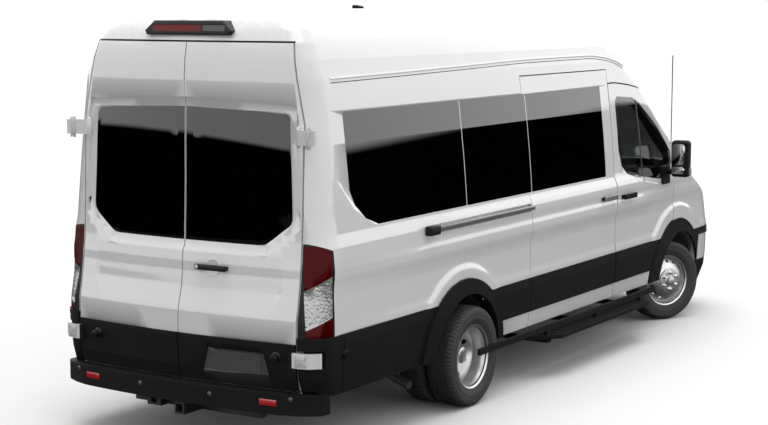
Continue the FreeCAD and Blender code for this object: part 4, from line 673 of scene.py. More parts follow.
def tyreMesh():
    t = tyre
    outline = [(-along, radius) for along, radius in reversed(t["half"][1:])]
    mesh = turned(outline + list(t["half"]), t["steps"], True)
    groups = {"edge": [], "mid": []}
    for face in mesh.faces:
        centre = face.calc_center_median()
        along, radius = abs(centre.z), math.hypot(centre.x, centre.y)
        number = int(math.atan2(centre.y, centre.x) / math.tau * t["steps"] + t["steps"])
        for key, every in (("edge", 2), ("mid", 3)):
            low, high, least = t[key]
            inBand = low < along < high and radius > least
            if inBand and (number + (centre.z > 0)) % every == 0:
                groups[key].append(face)
    inset(mesh, groups["edge"], t["sipeInset"], t["sipeDepth"])
    inset(mesh, groups["mid"], t["midInset"], t["sipeDepth"])
    return mesh


# outlines hold (along the axle, radius); a lug has its circle, base and height
rim = {
    "wall": 0.005, "columns": 6, "barrelSteps": 84, "hubSteps": 48, "lugs": 6,
    "holeBand": (0.150, 0.1815), "holeStretch": 1.15, "twinGap": 0.225,
    "twinHalf": 0.1125, "twinTurn": 1.2,
    "barrel": ((-0.083, 0.2195), (-0.083, 0.212), (-0.076, 0.2065), (-0.058, 0.2035),
               (-0.048, 0.196), (-0.02, 0.193), (0.03, 0.193), (0.048, 0.1965),
               (0.06, 0.2035), (0.074, 0.2065), (0.080, 0.2115), (0.083, 0.2195)),
    "front": {
        "disc": ((0.044, 0.1955), (0.051, 0.1905), (0.0585, 0.181), (0.0725, 0.166),
                 (0.0865, 0.151), (0.095, 0.1405), (0.0995, 0.132), (0.104, 0.1285),
                 (0.1075, 0.122), (0.1105, 0.1095), (0.119, 0.1035), (0.1205, 0.098),
                 (0.1205, 0.046)),
        "hub": ((0.020, 0.0), (0.020, 0.15), (0.044, 0.15), (0.046, 0.11), (0.06, 0.09),
                (0.11, 0.085), (0.112, 0)),
        "cap": ((0.118, 0.0475), (0.1225, 0.0465), (0.126, 0.040), (0.142, 0.0385),
                (0.1475, 0.035), (0.150, 0.026), (0.1515, 0.0)),
        "capSteps": 36, "holes": 14, "holeRadius": 0.0145, "lug": (0.072, 0.1195, 0.022),
    },
    "rear": {
        "disc": ((-0.03, 0.1965), (-0.046, 0.191), (-0.062, 0.180), (-0.0775, 0.165),
                 (-0.0915, 0.150), (-0.101, 0.139), (-0.1065, 0.128), (-0.1125, 0.118),
                 (-0.1125, 0.060)),
        "hub": ((-0.2575, 0.0), (-0.2575, 0.15), (-0.235, 0.15), (-0.233, 0.08),
                (-0.12, 0.07), (-0.118, 0)),
        "cap": ((-0.113, 0.062), (-0.10, 0.062), (-0.02, 0.060), (0.0, 0.056),
                (0.006, 0.044), (0.0075, 0)),
        "capSteps": 48, "holes": 8, "holeRadius": 0.0185, "lug": (0.088, -0.1125, 0.026),
    },
}


def rimSheet(kind):
    # a disc with round hand holes, given its thickness at the end
    k = rim[kind]
    columns = k["holes"] * rim["columns"]
    low, high = rim["holeBand"]
    mesh = turned(k["disc"], columns)
    for number in range(k["holes"]):
        turn = (number + 0.5) * rim["columns"] / columns * math.tau
        chosen = []
        for face in mesh.faces:
            centre = face.calc_center_median()
            radius = math.hypot(centre.x, centre.y)
            away = (math.atan2(centre.y, centre.x) - turn + math.pi) % math.tau - math.pi
            if low < radius < high and abs(away) < math.tau / columns * 2:
                chosen.append(face)
        middle = sum((face.calc_center_median() for face in chosen), Vector()) / len(chosen)
        slope = sum((face.normal for face in chosen), Vector()).normalized()
        across = Vector((-middle.y, middle.x, 0)).normalized()
        along = slope.cross(across).normalized()
        inside = set(chosen)
        for vert in {v for face in chosen for v in face.verts
                     if any(f not in inside for f in v.link_faces)}:
            offset = vert.co - middle
            angle = math.atan2(offset.dot(along), offset.dot(across))
            vert.co = (middle + across * math.cos(angle) * k["holeRadius"]
                       + along * math.sin(angle) * k["holeRadius"] * rim["holeStretch"])
        bmesh.ops.delete(mesh, geom=chosen, context="FACES")
    bmesh.ops.recalc_face_normals(mesh, faces=mesh.faces)
    return mesh


def lugMesh(height):
    # a washer under a six-sided nut
    return turned(((0, 0.0165), (0.003, 0.0165), (0.004, 0.0125), (height, 0.0115),
                   (height + 0.003, 0.008), (height + 0.004, 0)), 6)


def wheelPiece(kind, name, node, body, centre, axis):
    k = rim[kind]
    whole = bmesh.new()
    grids = [Matrix()]
    if kind == "rear":
        # the twin's inner rim faces the other way
        grids.append(Matrix.Translation((0, 0, -rim["twinGap"]))
                     @ Matrix.Rotation(math.pi, 4, "X"))
    for grid in grids:
        for sheet in (turned(rim["barrel"], rim["barrelSteps"]), rimSheet(kind)):
            bmesh.ops.solidify(sheet, geom=sheet.faces, thickness=rim["wall"])
            join(whole, sheet, grid)
    join(whole, turned(k["hub"], rim["hubSteps"]), None, 1)
    join(whole, turned(k["cap"], k["capSteps"]))
    circle, base, height = k["lug"]
    for number in range(rim["lugs"]):
        turn = math.tau * (number + 0.5) / rim["lugs"]
        spot = (math.cos(turn) * circle, math.sin(turn) * circle, base)
        join(whole, lugMesh(height), Matrix.Translation(spot), 2)
    item = placeAt(aimed(centre, axis), whole, name, body,
                   [silverSteel, bareSteel, brightSteel], "silver_steel", 35)
    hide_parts(node)


spins = {joint["name"]: joint for joint in frame["joints"]}
for hand, label in sides:
    joint = spins["front_wheel_%s_spin" % label]
    centre, axis = Vector(joint["pos_m"]), Vector(joint["axis"])
    item = placeAt(aimed(centre, axis), tyreMesh(), "front-tyre-" + label,
                   joint["child"], rubber, "tyre", 30)
    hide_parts("front_tyre_" + label)
    wheelPiece("front", "front-rim-" + label, "front_rim_" + label, joint["child"],
               centre, axis)
    joint = spins["rear_wheel_%s_spin" % label]
    centre, axis = Vector(joint["pos_m"]), Vector(joint["axis"])
    apart = axis * rim["twinHalf"]
    whole = bmesh.new()
    join(whole, tyreMesh(), aimed(centre + apart, axis))
    join(whole, tyreMesh(), aimed(centre - apart, axis, rim["twinTurn"]))
    item = place(whole, "rear-tyres-" + label, joint["child"], rubber, "tyre", 30)
    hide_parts("rear_tyres_" + label)
    wheelPiece("rear", "rear-rims-" + label, "rear_rims_" + label, joint["child"],
               centre + apart, axis)
print("wheels ready")


# small forms that sit on the skin

def sweep(rings):
    # grows a ring along its stations and closes both ends
    mesh = bmesh.new()
    face = mesh.faces.new([mesh.verts.new(spot) for spot in rings[0]])
    for ring in rings[1:]:
        grown = bmesh.ops.extrude_face_region(mesh, geom=[face])["geom"]
        face = next(part for part in grown if isinstance(part, bmesh.types.BMFace))
        for vert, spot in zip(face.verts, ring):
            vert.co = spot
    bmesh.ops.recalc_face_normals(mesh, faces=mesh.faces)
    return mesh


def spaced(points, step):
    # the same line with even spacing
    points = [Vector(p) for p in points]
    line = [points[0]]
    for start, end in zip(points, points[1:]):
        count = max(1, round((end - start).length / step))
        line += [start.lerp(end, (n + 1) / count) for n in range(count)]
    for rounds in range(3):
        line = [line[0]] + [(a + b * 2 + c) / 4 for a, b, c
                            in zip(line, line[1:], line[2:])] + [line[-1]]
    return line


def strip(spots, section):
    # draws a section along places that hold their outward direction
    rings = []
    for index, (spot, outward) in enumerate(spots):
        before = spots[max(index - 1, 0)][0]
        after = spots[min(index + 1, len(spots) - 1)][0]
        upward = outward.cross((after - before).normalized()).normalized()
        rings.append([spot + outward * out + upward * rise for rise, out in section])
    return sweep(rings)


def bar(width, height, sink=0.003):
    # section of a low ridge, sunk a little into the skin
    half = width / 2
    return ((-half, -sink), (-half * 0.8, height * 0.75), (-half * 0.45, height),
            (half * 0.45, height), (half * 0.8, height * 0.75), (half, -sink))


def found(hits):
    # leaves out the rays that met nothing
    return [(spot, normal) for spot, normal in hits if spot is not None]


def sideLine(points, hand, step=0.06):
    line = spaced([(x, 0, z) for x, z in points], step)
    return found(onSide(point.x, point.z, hand) for point in line)


def slab(spots, outward, thick, edge):
    # a flat plate grown outward from its outline
    mesh = bmesh.new()
    face = mesh.faces.new([mesh.verts.new(spot) for spot in spots])
    grown = bmesh.ops.extrude_face_region(mesh, geom=[face])["geom"]
    top = next(part for part in grown if isinstance(part, bmesh.types.BMFace))
    bmesh.ops.translate(mesh, vec=Vector(outward) * thick, verts=top.verts)
    bmesh.ops.recalc_face_normals(mesh, faces=mesh.faces)
    if edge:
        bevelled(mesh, list(top.edges), edge, 2)
    return mesh


def roundedBox(low, high, radius, segments=3):
    mesh = bmesh.new()
    bmesh.ops.create_cube(mesh, size=1)
    low, high = Vector(low), Vector(high)
    bmesh.ops.scale(mesh, vec=high - low, verts=mesh.verts)
    bmesh.ops.translate(mesh, vec=(high + low) / 2, verts=mesh.verts)
    bevelled(mesh, list(mesh.edges), radius, segments)
    return mesh


def rearPoint(y, z, out=0.0):
    spot, normal = onRear(y, z)
    return spot + normal * out


bumpers = {"paintFoot": 0.47, "sweep": 0.075, "sweepStart": 0.72, "sweepLength": 0.28,
           "barTop": 0.43, "barX": -3.18}


def swept(y):
    # how far the ends of the rear bumper bar lie forward of the plain solid
    share = max(0, (abs(y) - bumpers["sweepStart"]) / bumpers["sweepLength"])
    return bumpers["sweep"] * share ** 2


# door handles: a bar on two feet in front of a round dish
handles = {
    "length": 0.236, "height": 0.036, "stand": 0.021, "depth": 0.02, "edge": 0.009,
    "footPlace": 0.78, "footHalf": (0.018, 0.013), "sink": 0.006, "footEdge": 0.004,
    "lockPlace": 0.82, "lock": ((0, 0.0125), (0.022, 0.0125), (0.023, 0.0105),
                                (0.021, 0.0095), (0.021, 0)),
    "rear": (-0.238, 1.139), "sliding": (0.772, 1.219), "front": (1.152, 1.203),
    "dish": 0.052, "dishOutline": ((-0.004, 1), (0.0012, 1), (0.0022, 0.97),
                                   (0.0014, 0.92), (0.0006, 0.5), (0.0004, 0)),
}


def handleMesh(key):
    # the bar lies along X, outward is Z
    h = handles
    mesh = bmesh.new()
    half = h["length"] / 2
    join(mesh, roundedBox((-half, -h["height"] / 2, h["stand"]),
                          (half, h["height"] / 2, h["stand"] + h["depth"]), h["edge"]))
    wide, tall = h["footHalf"]
    for hand in (-1, 1):
        middle = hand * half * h["footPlace"]
        join(mesh, roundedBox((middle - wide, -tall, -h["sink"]),
                              (middle + wide, tall, h["stand"] + h["sink"]),
                              h["footEdge"], 2))
    if key:
        outline = [(h["stand"] + along, radius) for along, radius in h["lock"]]
        join(mesh, turned(outline, 24),
             Matrix.Translation((-half * h["lockPlace"], 0, 0)), 1)
    return mesh


def fitHandle(name, hit, along, body, key=False):
    # X runs along the handle, Z outward
    spot, outward = hit
    outward = outward.normalized()
    upward = outward.cross(Vector(along)).normalized()
    right = upward.cross(outward).normalized()
    grid = (Matrix.Translation(spot)
            @ Matrix((right, upward, outward)).transposed().to_4x4())
    placeAt(grid, handleMesh(key), name, body, [satinBlack, silverSteel], "black_plastic",
            35)
    dish = [(rise, handles["dish"] * share) for rise, share in handles["dishOutline"]]
    placeAt(grid, turned(dish, 48), name + "-dish", body, whitePaint, "white_paint", 35)


fitHandle("rear-handle", onRear(*handles["rear"]), (0, -1, 0), "rear_door_right_body", True)
fitHandle("sliding-handle", onSide(*handles["sliding"]), (1, 0, 0), "vehicle")
for hand, label in sides:
    fitHandle("front-handle-" + label, onSide(*handles["front"], hand), (-hand, 0, 0),
              "front_door_%s_body" % label, hand > 0)

# gutter ridge above the windows, with a dark line below it that is the sealed joint and also painted shadow under
# the ridge
gutter = {
    "line": ((-2.956, 2.288), (-2.309, 2.298), (-1.485, 2.313), (-0.459, 2.334),
             (0.742, 2.337), (1.07, 2.303), (1.284, 2.244)),
    "joint": -0.024, "width": 0.016, "height": 0.007, "jointShadowWidth": 0.006,
    "jointShadowHeight": 0.0015,
}
for hand, label in sides:
    g = gutter
    place(strip(sideLine(g["line"], hand), bar(g["width"], g["height"])),
          "gutter-" + label, "vehicle", whitePaint, "white_paint", 40)
    # painted shadow: a dark strip under the gutter ridge, on the line of the roof joint
    spots = sideLine([(x, z + g["joint"]) for x, z in g["line"]], hand)
    place(strip(spots, bar(g["jointShadowWidth"], g["jointShadowHeight"])), "gutter-joint-shadow-" + label,
          "vehicle", jointAndShadowDark, "black_plastic", 40)

# rail of the sliding door: end cap and the dark slot
rail = {"x": (-2.045, -1.925), "z": (1.249, 1.309), "out": 0.006, "deep": 0.045,
        "edge": 0.006, "track": (-1.94, -0.56), "trackZ": 1.28, "trackIn": 0.004,
        "trackWidth": 0.026}
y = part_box("slide_rail")[0].y
mesh = roundedBox((rail["x"][0], y - rail["out"], rail["z"][0]),
                  (rail["x"][1], y + rail["deep"], rail["z"][1]), rail["edge"])
place(mesh, "rail-cap", "vehicle", satinBlack, "black_plastic", 35)
spots = [(point, Vector((0, -1, 0)))
         for point in spaced([(x, y + rail["trackIn"], rail["trackZ"])
                              for x in rail["track"]], 0.1)]
place(strip(spots, bar(rail["trackWidth"], 0.001, 0.004)), "rail-track", "vehicle",
      railShade, "silver_steel", 40)

# hinge covers of the rear doors; the outline and the screws are shares of each plate
hinge = {
    "upper": {"z": (1.884, 2.016), "y": (0.896, 0.915), "screws": (0.25, 0.75)},
    "lower": {"z": (0.597, 0.672), "y": (0.86, 0.915), "screws": (0.3, 0.5, 0.7)},
    "outline": ((0, 0), (0.55, 0), (0.6, 0.07), (0.82, 0.07), (0.86, 0), (1, 0), (1, 0.3),
                (0.84, 0.36), (0.84, 0.62), (1, 0.7), (1, 1), (0.84, 1), (0.8, 0.93),
                (0.6, 0.93), (0.55, 1), (0, 1)),
    "thick": 0.006, "edge": 0.0015, "extra": 0.02, "lift": 0.001, "screwPlace": 0.25,
    "screw": ((0, 0.007), (0.0095, 0.007), (0.0105, 0.0055), (0.0105, 0)),
}
for hand, label in sides:
    for level in ("upper", "lower"):
        low, high = hinge[level]["z"]
        spotIn, spotOut = (onRear(hand * y, (low + high) / 2)[0] for y in hinge[level]["y"])
        rise = Vector((0, 0, 1))
        across = (spotOut - spotIn).normalized()
        outward = rise.cross(across).normalized()
        if outward.x > 0:
            outward = -outward
        length = (spotOut - spotIn).length + hinge["extra"]
        tall = high - low
        start = Vector((spotIn.x, spotIn.y, low)) + outward * hinge["lift"]
        spots = [start + across * (length * a) + rise * (tall * b)
                 for a, b in hinge["outline"]]
        mesh = bmesh.new()
        join(mesh, slab(spots, outward, hinge["thick"], hinge["edge"]))
        for share in hinge[level]["screws"]:
            spot = start + across * length * hinge["screwPlace"] + rise * tall * share
            join(mesh, turned(hinge["screw"], 6), aimed(spot, outward))
        place(mesh, "hinge-%s-%s" % (level, label), "rear_door_%s_body" % label,
              hingeMetal, "silver_steel", 30)

# knobs that stop the doors, and the parking sensors
stops = {
    "knob": ((-0.004, 0.034), (0.006, 0.033), (0.012, 0.024), (0.03, 0.021),
             (0.036, 0.026), (0.044, 0.025), (0.047, 0.018), (0.047, 0)),
    "door": ((-0.72, 0.641), (0.67, 0.646)), "catch": (-2.985, 0.648), "catchDepth": 0.7,
    "sensor": ((-0.003, 0.0145), (0.001, 0.0145), (0.0015, 0.0125), (0.0005, 0.012),
               (0.002, 0.010), (0.0025, 0)),
    "sensors": ((-0.273, 0.378), (0.273, 0.378), (-0.835, 0.4), (0.835, 0.4)),
}
for number, (y, z) in enumerate(stops["door"]):
    placeAt(aimed(*onRear(y, z)), turned(stops["knob"], 28), "door-stop-%d" % (number + 1),
            "rear_door_%s_body" % ("right" if y < 0 else "left"), satinBlack,
            "black_plastic", 35)
for hand, label in sides:
    outline = [(along * stops["catchDepth"], radius) for along, radius in stops["knob"]]
    placeAt(aimed(*onSide(*stops["catch"], hand)), turned(outline, 28),
            "door-catch-" + label, "vehicle", satinBlack, "black_plastic", 35)
for number, (y, z) in enumerate(stops["sensors"]):
    spot, normal = onRear(y, z)
    spot.x += swept(y)
    placeAt(aimed(spot, normal), turned(stops["sensor"], 24), "sensor-%d" % (number + 1),
            "vehicle", sensorGrey, "black_plastic", 35)

# red reflectors in the rear bumper
reflector = {"ys": ((-0.748, -0.63), (0.63, 0.748)), "z": (0.352, 0.390), "sink": -0.002,
             "thick": 0.006, "edge": 0.002}
for number, (low, high) in enumerate(reflector["ys"]):
    foot, head = reflector["z"]
    spots = [rearPoint(y, z, reflector["sink"]) for y, z in (
        (low, foot), (high, foot), (high, head), (low, head))]
    spot, normal = onRear((low + high) / 2, (foot + head) / 2)
    place(slab(spots, normal, reflector["thick"], reflector["edge"]),
          "reflector-%d" % (number + 1), "vehicle", redReflector, "red_lamp", 30)

# blank number plate and its recessed panel on the right rear door
plate = {
    "recess": ((-0.167, 0.490), (-0.668, 0.510), (-0.628, 0.663), (-0.221, 0.661)),
    "plate": ((-0.286, 0.505), (-0.600, 0.508), (-0.606, 0.641), (-0.288, 0.641)),
    "wall": 0.010, "depth": 0.012, "thick": 0.003, "edge": 0.001,
    "frames": ((0.006, 0.0), (0.002, -0.0012)),
}
mesh = copied("rear_door_trim_right")
corners = [Vector((0, y, z)) for y, z in plate["recess"]]
corners = list(zip(corners, corners[1:] + corners[:1]))
for start, end in corners:
    edge = (end - start).normalized()
    split(mesh, [face for face in mesh.faces if face.normal.x < -0.5], start,
          Vector((0, -edge.z, edge.y)))
chosen = []
for face in mesh.faces:
    face.material_index = 0
    centre = face.calc_center_median()
    if face.normal.x < -0.5 and all(
            (end - start).y * (centre.z - start.z) <= (end - start).z * (centre.y - start.y)
            for start, end in corners):
        chosen.append(face)
inset(mesh, chosen, plate["wall"], -plate["depth"])
for face in chosen:
    face.material_index = 1
item = place(mesh, "rear-door-trim-plate-side", "rear_door_right_body",
             [blackPlastic, plateGrey], "black_plastic", 30)
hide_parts("rear_door_trim_right")
sink = Vector((plate["depth"] - 0.001, 0, 0))
spots = [rearPoint(y, z) + sink for y, z in plate["plate"]]
normal = (spots[1] - spots[0]).cross(spots[2] - spots[0]).normalized()
normal = normal if normal.x < 0 else -normal
mesh = slab(spots, normal, plate["thick"], plate["edge"])
top = [face for face in mesh.faces if face.normal.dot(normal) > 0.99
       and face.calc_area() > 0.01]
for thickness, depth in plate["frames"]:
    inset(mesh, top, thickness, depth, False)
place(mesh, "blank-plate", "rear_door_right_body", plateFace, "black_plastic", 25)

# grooves in the black rear corners
groove = {"line": ((-2.99, 0.527), (-2.06, 0.527)), "width": 0.007, "height": 0.0012}
for hand, label in sides:
    place(strip(sideLine(groove["line"], hand), bar(groove["width"], groove["height"])),
          "corner-groove-" + label, "vehicle", jointAndShadowDark, "black_plastic", 40)
print("rear details ready")


# lamps cut from the same solids into lens and border

def cutBy(mesh, point, normal, test):
    split(mesh, [face for face in mesh.faces if test(face)], point,
          Vector(normal).normalized())


tailLamp = {
    "rearY": 0.858, "cornerX": -3.19, "near": 0.005, "far": 0.244, "foot": 0.753,
    "head": 1.308, "upper": (1.042, 1.129), "lower": (0.811, 0.886), "inset": 0.0035,
    "depth": -0.0025,
}


def lampShare(spot):
    # 0 at the rear edge of a tail lamp, growing round the corner
    return (abs(spot.y) - tailLamp["rearY"]) + (spot.x - tailLamp["cornerX"])


def slopeLine(ends, share):
    l = tailLamp
    return ends[0] + (ends[1] - ends[0]) * (share - l["near"]) / (l["far"] - l["near"])


def lampOuter(face):
    spot = face.calc_center_median()
    return face.normal.x < -0.25 or face.normal.y * spot.y > 0.25 * abs(spot.y)


mesh = copied("tail_lamps")
l = tailLamp
for hand in (-1, 1):
    def ownSide(face, hand=hand):
        return lampOuter(face) and face.calc_center_median().y * hand > 0

    for share in (l["near"], l["far"]):
        point = (l["cornerX"], hand * (l["rearY"] + share), 0)
        cutBy(mesh, point, (1, hand, 0), ownSide)
    for level in (l["foot"], l["head"]):
        cutBy(mesh, (0, 0, level), (0, 0, 1), ownSide)
    for ends in (l["upper"], l["lower"]):
        slope = (ends[1] - ends[0]) / (l["far"] - l["near"])
        point = (l["cornerX"], hand * (l["rearY"] + l["near"]), ends[0])
        cutBy(mesh, point, (-slope, -slope * hand, 1), ownSide)
lens = []
for face in mesh.faces:
    spot = face.calc_center_median()
    share = lampShare(spot)
    face.material_index = 2
    if (lampOuter(face) and l["near"] < share < l["far"]
            and l["foot"] < spot.z < l["head"]):
        clear = slopeLine(l["lower"], share) < spot.z < slopeLine(l["upper"], share)
        face.material_index = int(clear)
        if clear:
            lens.append(face)
inset(mesh, lens, l["inset"], l["depth"])
item = place(mesh, "tail-lamp-lenses", "vehicle", [redLens, clearLens, satinBlack],
             "red_lamp", 30)
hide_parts("tail_lamps")

brakeLamp = {
    "red": (-0.106, 0.273), "dark": (-0.285, -0.118), "z": (2.566, 2.607),
    "outline": ((-0.318, 2.543), (0.318, 2.543), (0.336, 2.569), (0.264, 2.631),
                (-0.264, 2.631), (-0.336, 2.569)),
    "x": -3.060, "depth": 0.112, "backX": -3.1, "tilt": 0.12, "edge": 0.007,
    "lensWall": 0.003, "lensDepth": -0.003,
}
b = brakeLamp
spots = [Vector((b["x"], y, z)) for y, z in b["outline"]]
mesh = slab(spots, (-1, 0, 0), b["depth"], 0)
for vert in mesh.verts:
    if vert.co.x < b["backX"]:
        vert.co.x += (vert.co.z - b["outline"][0][1]) * b["tilt"]
bevelled(mesh, [e for e in mesh.edges if max(v.co.x for v in e.verts) < b["backX"]],
         b["edge"], 3)


def lampBack(face):
    return face.normal.x < -0.5


for y in b["red"] + b["dark"]:
    cutBy(mesh, (0, y, 0), (0, 1, 0), lampBack)
for z in b["z"]:
    cutBy(mesh, (0, 0, z), (0, 0, 1), lampBack)
groups = ([], [])
for face in mesh.faces:
    spot = face.calc_center_median()
    face.material_index = 0
    if lampBack(face) and b["z"][0] < spot.z < b["z"][1]:
        for index, key in enumerate(("red", "dark")):
            if b[key][0] < spot.y < b[key][1]:
                face.material_index = index + 1
                groups[index].append(face)
for faces in groups:
    inset(mesh, faces, b["lensWall"], b["lensDepth"])
item = place(mesh, "high-brake-lamp-lens", "vehicle", [satinBlack, brightRed, darkGlass],
             "red_lamp", 30)
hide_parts("high_brake_lamp")

# mirrors: two glasses and a turn lamp; the corners are cut by their own amounts
mirror = {
    "upper": (1.395, 1.570), "lower": (1.318, 1.380), "across": (1.095, 1.215),
    "startX": 1.2, "lift": 0.002, "cut": 0.012, "topCut": 0.02, "thick": 0.006,
    "edge": 0.002, "lamp": (1.303, 1.372), "lampX": (1.955, 2.0), "lampSink": 0.004,
    "lampThick": 0.008, "lampEdge": 0.003, "lampCuts": (0.01, 0.004, 0.008),
}
for hand, label in sides:
    m = mirror
    tree = treeOf("front_door_trim_" + label)
    body = "front_door_%s_body" % label
    near, far = m["across"]
    for key in ("upper", "lower"):
        low, high = m[key]
        start = (m["startX"], hand * (near + far) / 2, (low + high) / 2)
        spot, normal = shoot(tree, start, (1, 0, 0))
        if spot is None:
            continue
        spots = [Vector((spot.x + m["lift"], hand * y, z)) for y, z in (
            (near + m["cut"], low), (far - m["cut"], low), (far, low + m["cut"]),
            (far, high - m["topCut"]), (far - m["topCut"], high),
            (near + m["topCut"], high), (near, high - m["topCut"]), (near, low + m["cut"]))]
        place(slab(spots, (-1, 0, 0), m["thick"], m["edge"]),
              "mirror-%s-%s" % (key, label), body, mirrorGlass, "dark_glass", 30)
    low, high = m["lamp"]
    near, far = m["lampX"]
    start = ((near + far) / 2, hand * 2, (low + high) / 2)
    spot, normal = shoot(tree, start, (0, -hand, 0))
    if spot is not None:
        foot, tip, head = m["lampCuts"]
        spots = [Vector((x, spot.y - hand * m["lampSink"], z)) for x, z in (
            (near, low + foot), (far - tip, low), (far, high - head),
            (near + head, high))]
        place(slab(spots, (0, hand, 0), m["lampThick"], m["lampEdge"]),
              "mirror-lamp-" + label, body, clearLens, "clear_lamp", 30)

# divider bar of the front door window
divider = {"foot": (1.515, 1.272), "head": (1.462, 1.955), "width": 0.017,
           "height": 0.004}
for hand, label in sides:
    spots = sideLine((divider["foot"], divider["head"]), hand, 0.05)
    place(strip(spots, bar(divider["width"], divider["height"])),
          "window-divider-" + label, "front_door_%s_body" % label, dividerGrey,
          "black_plastic", 40)

# headlamps with two projectors and a light strip, and the bars of the grille
front = {
    "projectors": ((0.78, 0.90), (0.89, 0.92)), "projectorRadius": 0.042,
    # outlines hold (outward, share of the radius)
    "bezel": ((-0.003, 1), (0.003, 1), (0.004, 0.9), (0.001, 0.86)),
    "lens": ((-0.001, 0.86), (0.004, 0.75), (0.008, 0.45), (0.0095, 0)),
    "strip": (0.72, 0.027, 9), "stripZ": 0.835, "stripBar": (0.012, 0.004),
    "barLevels": (0.695, 0.745, 0.795, 0.845, 0.895, 0.945), "barHalf": 0.62,
    "barCuts": 12, "bar": (0.018, 0.009),
}
frontTree = treeOf("headlamps", "grille", "front_bumper", "hood", "fenders")


def onFront(y, z):
    return shoot(frontTree, (6, y, z), (-1, 0, 0))


for hand, label in sides:
    mesh = bmesh.new()
    for spot, normal in found(onFront(hand * y, z) for y, z in front["projectors"]):
        for finishIndex, key in ((1, "bezel"), (0, "lens")):
            outline = [(out, front["projectorRadius"] * share) for out, share in front[key]]
            join(mesh, turned(outline, 32), aimed(spot, normal), finishIndex)
    spots = found(onFront(hand * y, front["stripZ"]) for y in steps(*front["strip"]))
    join(mesh, strip(spots, bar(*front["stripBar"])))
    place(mesh, "headlamp-parts-" + label, "vehicle", [clearLens, satinBlack],
          "clear_lamp", 35)
mesh = bmesh.new()
for level in front["barLevels"]:
    count = front["barCuts"]
    spots = found(onFront(front["barHalf"] * (n / count - 1), level)
                  for n in range(2 * count + 1))
    if len(spots) > 2:
        join(mesh, strip(spots, bar(*front["bar"])))
place(mesh, "grille-bars", "vehicle", satinBlack, "black_plastic", 35)

# bumpers: the front one is painted above its black foot
mesh = copied("front_bumper")
cutBy(mesh, (0, 0, bumpers["paintFoot"]), (0, 0, 1), lambda face: True)
for face in mesh.faces:
    face.material_index = int(face.calc_center_median().z < bumpers["paintFoot"])
item = place(mesh, "front-bumper-skin", "vehicle", [whitePaint, blackPlastic],
             "white_paint", 35)
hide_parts("front_bumper")
mesh = copied("rear_bumper")
for vert in mesh.verts:
    if vert.co.z < bumpers["barTop"] and vert.co.x < bumpers["barX"]:
        vert.co.x += swept(vert.co.y)
item = place(mesh, "rear-bumper-skin", "vehicle", blackPlastic, "black_plastic", 35)
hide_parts("rear_bumper")

# wipers lie on the foot of the windshield: ends of each arm and blade, seen from above
wiper = {
    "places": (((2.54, -0.30), (2.36, -0.06), (2.47, -0.40), (2.28, 0.22)),
               ((2.54, 0.34), (2.36, 0.54), (2.47, 0.24), (2.24, 0.80))),
    "arm": (0.018, 0.026, -0.010), "blade": (0.010, 0.020, 0.0), "step": 0.05,
    "pivot": ((-0.004, 0.022), (0.022, 0.02), (0.028, 0.014), (0.029, 0)),
}
glassTree = treeOf("windshield", "windshield_frame", "hood")


def onGlass(x, y):
    return shoot(glassTree, (x, y, 3), (0, 0, -1))


for number, (start, end, bladeStart, bladeEnd) in enumerate(wiper["places"]):
    mesh = bmesh.new()
    for ends, key in (((start, end), "arm"), ((bladeStart, bladeEnd), "blade")):
        line = spaced([(x, y, 0) for x, y in ends], wiper["step"])
        spots = found(onGlass(point.x, point.y) for point in line)
        join(mesh, strip(spots, bar(*wiper[key])))
    join(mesh, turned(wiper["pivot"], 20), aimed(*onGlass(*start)))
    place(mesh, "wiper-%d" % (number + 1), "vehicle", satinBlack, "black_plastic", 35)
print("lamps and mirrors ready")


# seats: crowned cushions with sewn channels

seats = {
    "cushionCrown": 0.030, "backCrown": 0.025, "headCrown": 0.012, "seam": 0.010,
    "seamHalf": 0.016, "seamPlace": 0.22, "radius": 0.032, "headRadius": 0.03,
    "cut": 0.022, "pull": 0.010, "gap": 0.004, "headHalf": 0.125, "headTall": 0.185,
    "headInset": 0.01, "backGap": 0.03, "backDrop": 0.2, "legInset": 0.05,
    "legPlace": 0.09, "legHalf": 0.025, "legFoot": 0.655, "legEdge": 0.006,
    "postHalf": 0.06, "post": ((0, 0.007), (0.06, 0.007)), "postDrop": 0.225,
    "cab": {"x": 1.18, "ys": (-0.47, 0.47), "width": 0.50, "length": 0.48, "top": 1.13,
            "height": 0.13, "back": 0.76, "thick": 0.12},
    "bench": {"xs": (-0.05, -0.89, -1.73, -2.57), "y": 0.11, "width": 1.38,
              "length": 0.48, "top": 1.08, "height": 0.13, "back": 0.76, "thick": 0.12},
}


def pad(low, high, radius, crown, seams, faceAxis):
    # a rounded block whose face bows out, with channels sewn at some places across Y
    mesh = roundedBox(low, high, radius, 4)
    low, high = Vector(low), Vector(high)
    for axis in range(3):
        size = high[axis] - low[axis]
        count = max(2, int(size / seats["cut"]))
        normal = Vector((0, 0, 0))
        normal[axis] = 1
        for n in range(1, count):
            bmesh.ops.bisect_plane(mesh, geom=mesh.faces[:] + mesh.edges[:] + mesh.verts[:],
                                   dist=0.00001, plane_no=normal,
                                   plane_co=normal * (low[axis] + size * n / count))
    middle, half = (high + low) / 2, (high - low) / 2
    others = [axis for axis in range(3) if axis != faceAxis]
    for vert in mesh.verts:
        t = [(vert.co[axis] - middle[axis]) / half[axis] for axis in range(3)]
        bow = 1.0
        for axis in others:
            bow *= max(0.0, 1 - t[axis] ** 4)
        share = (t[faceAxis] + 1) / 2
        shift = crown * (bow - 1) * max(share, 0)
        for seam in seams:
            shift -= seats["seam"] * bell(vert.co.y, seam, seats["seamHalf"]) * share
        vert.co[faceAxis] += shift
        for axis, other in (others, others[::-1]):
            pull = seats["pull"] * (1 - t[other] ** 2)
            vert.co[axis] -= (math.copysign(pull * 0.5 * abs(t[axis]), t[axis])
                              * (1 - share * 0.3))
    return mesh


def softPiece(mesh, name):
    item = place(mesh, name, "vehicle", seatFabric, "seat_fabric", 60)
    return item


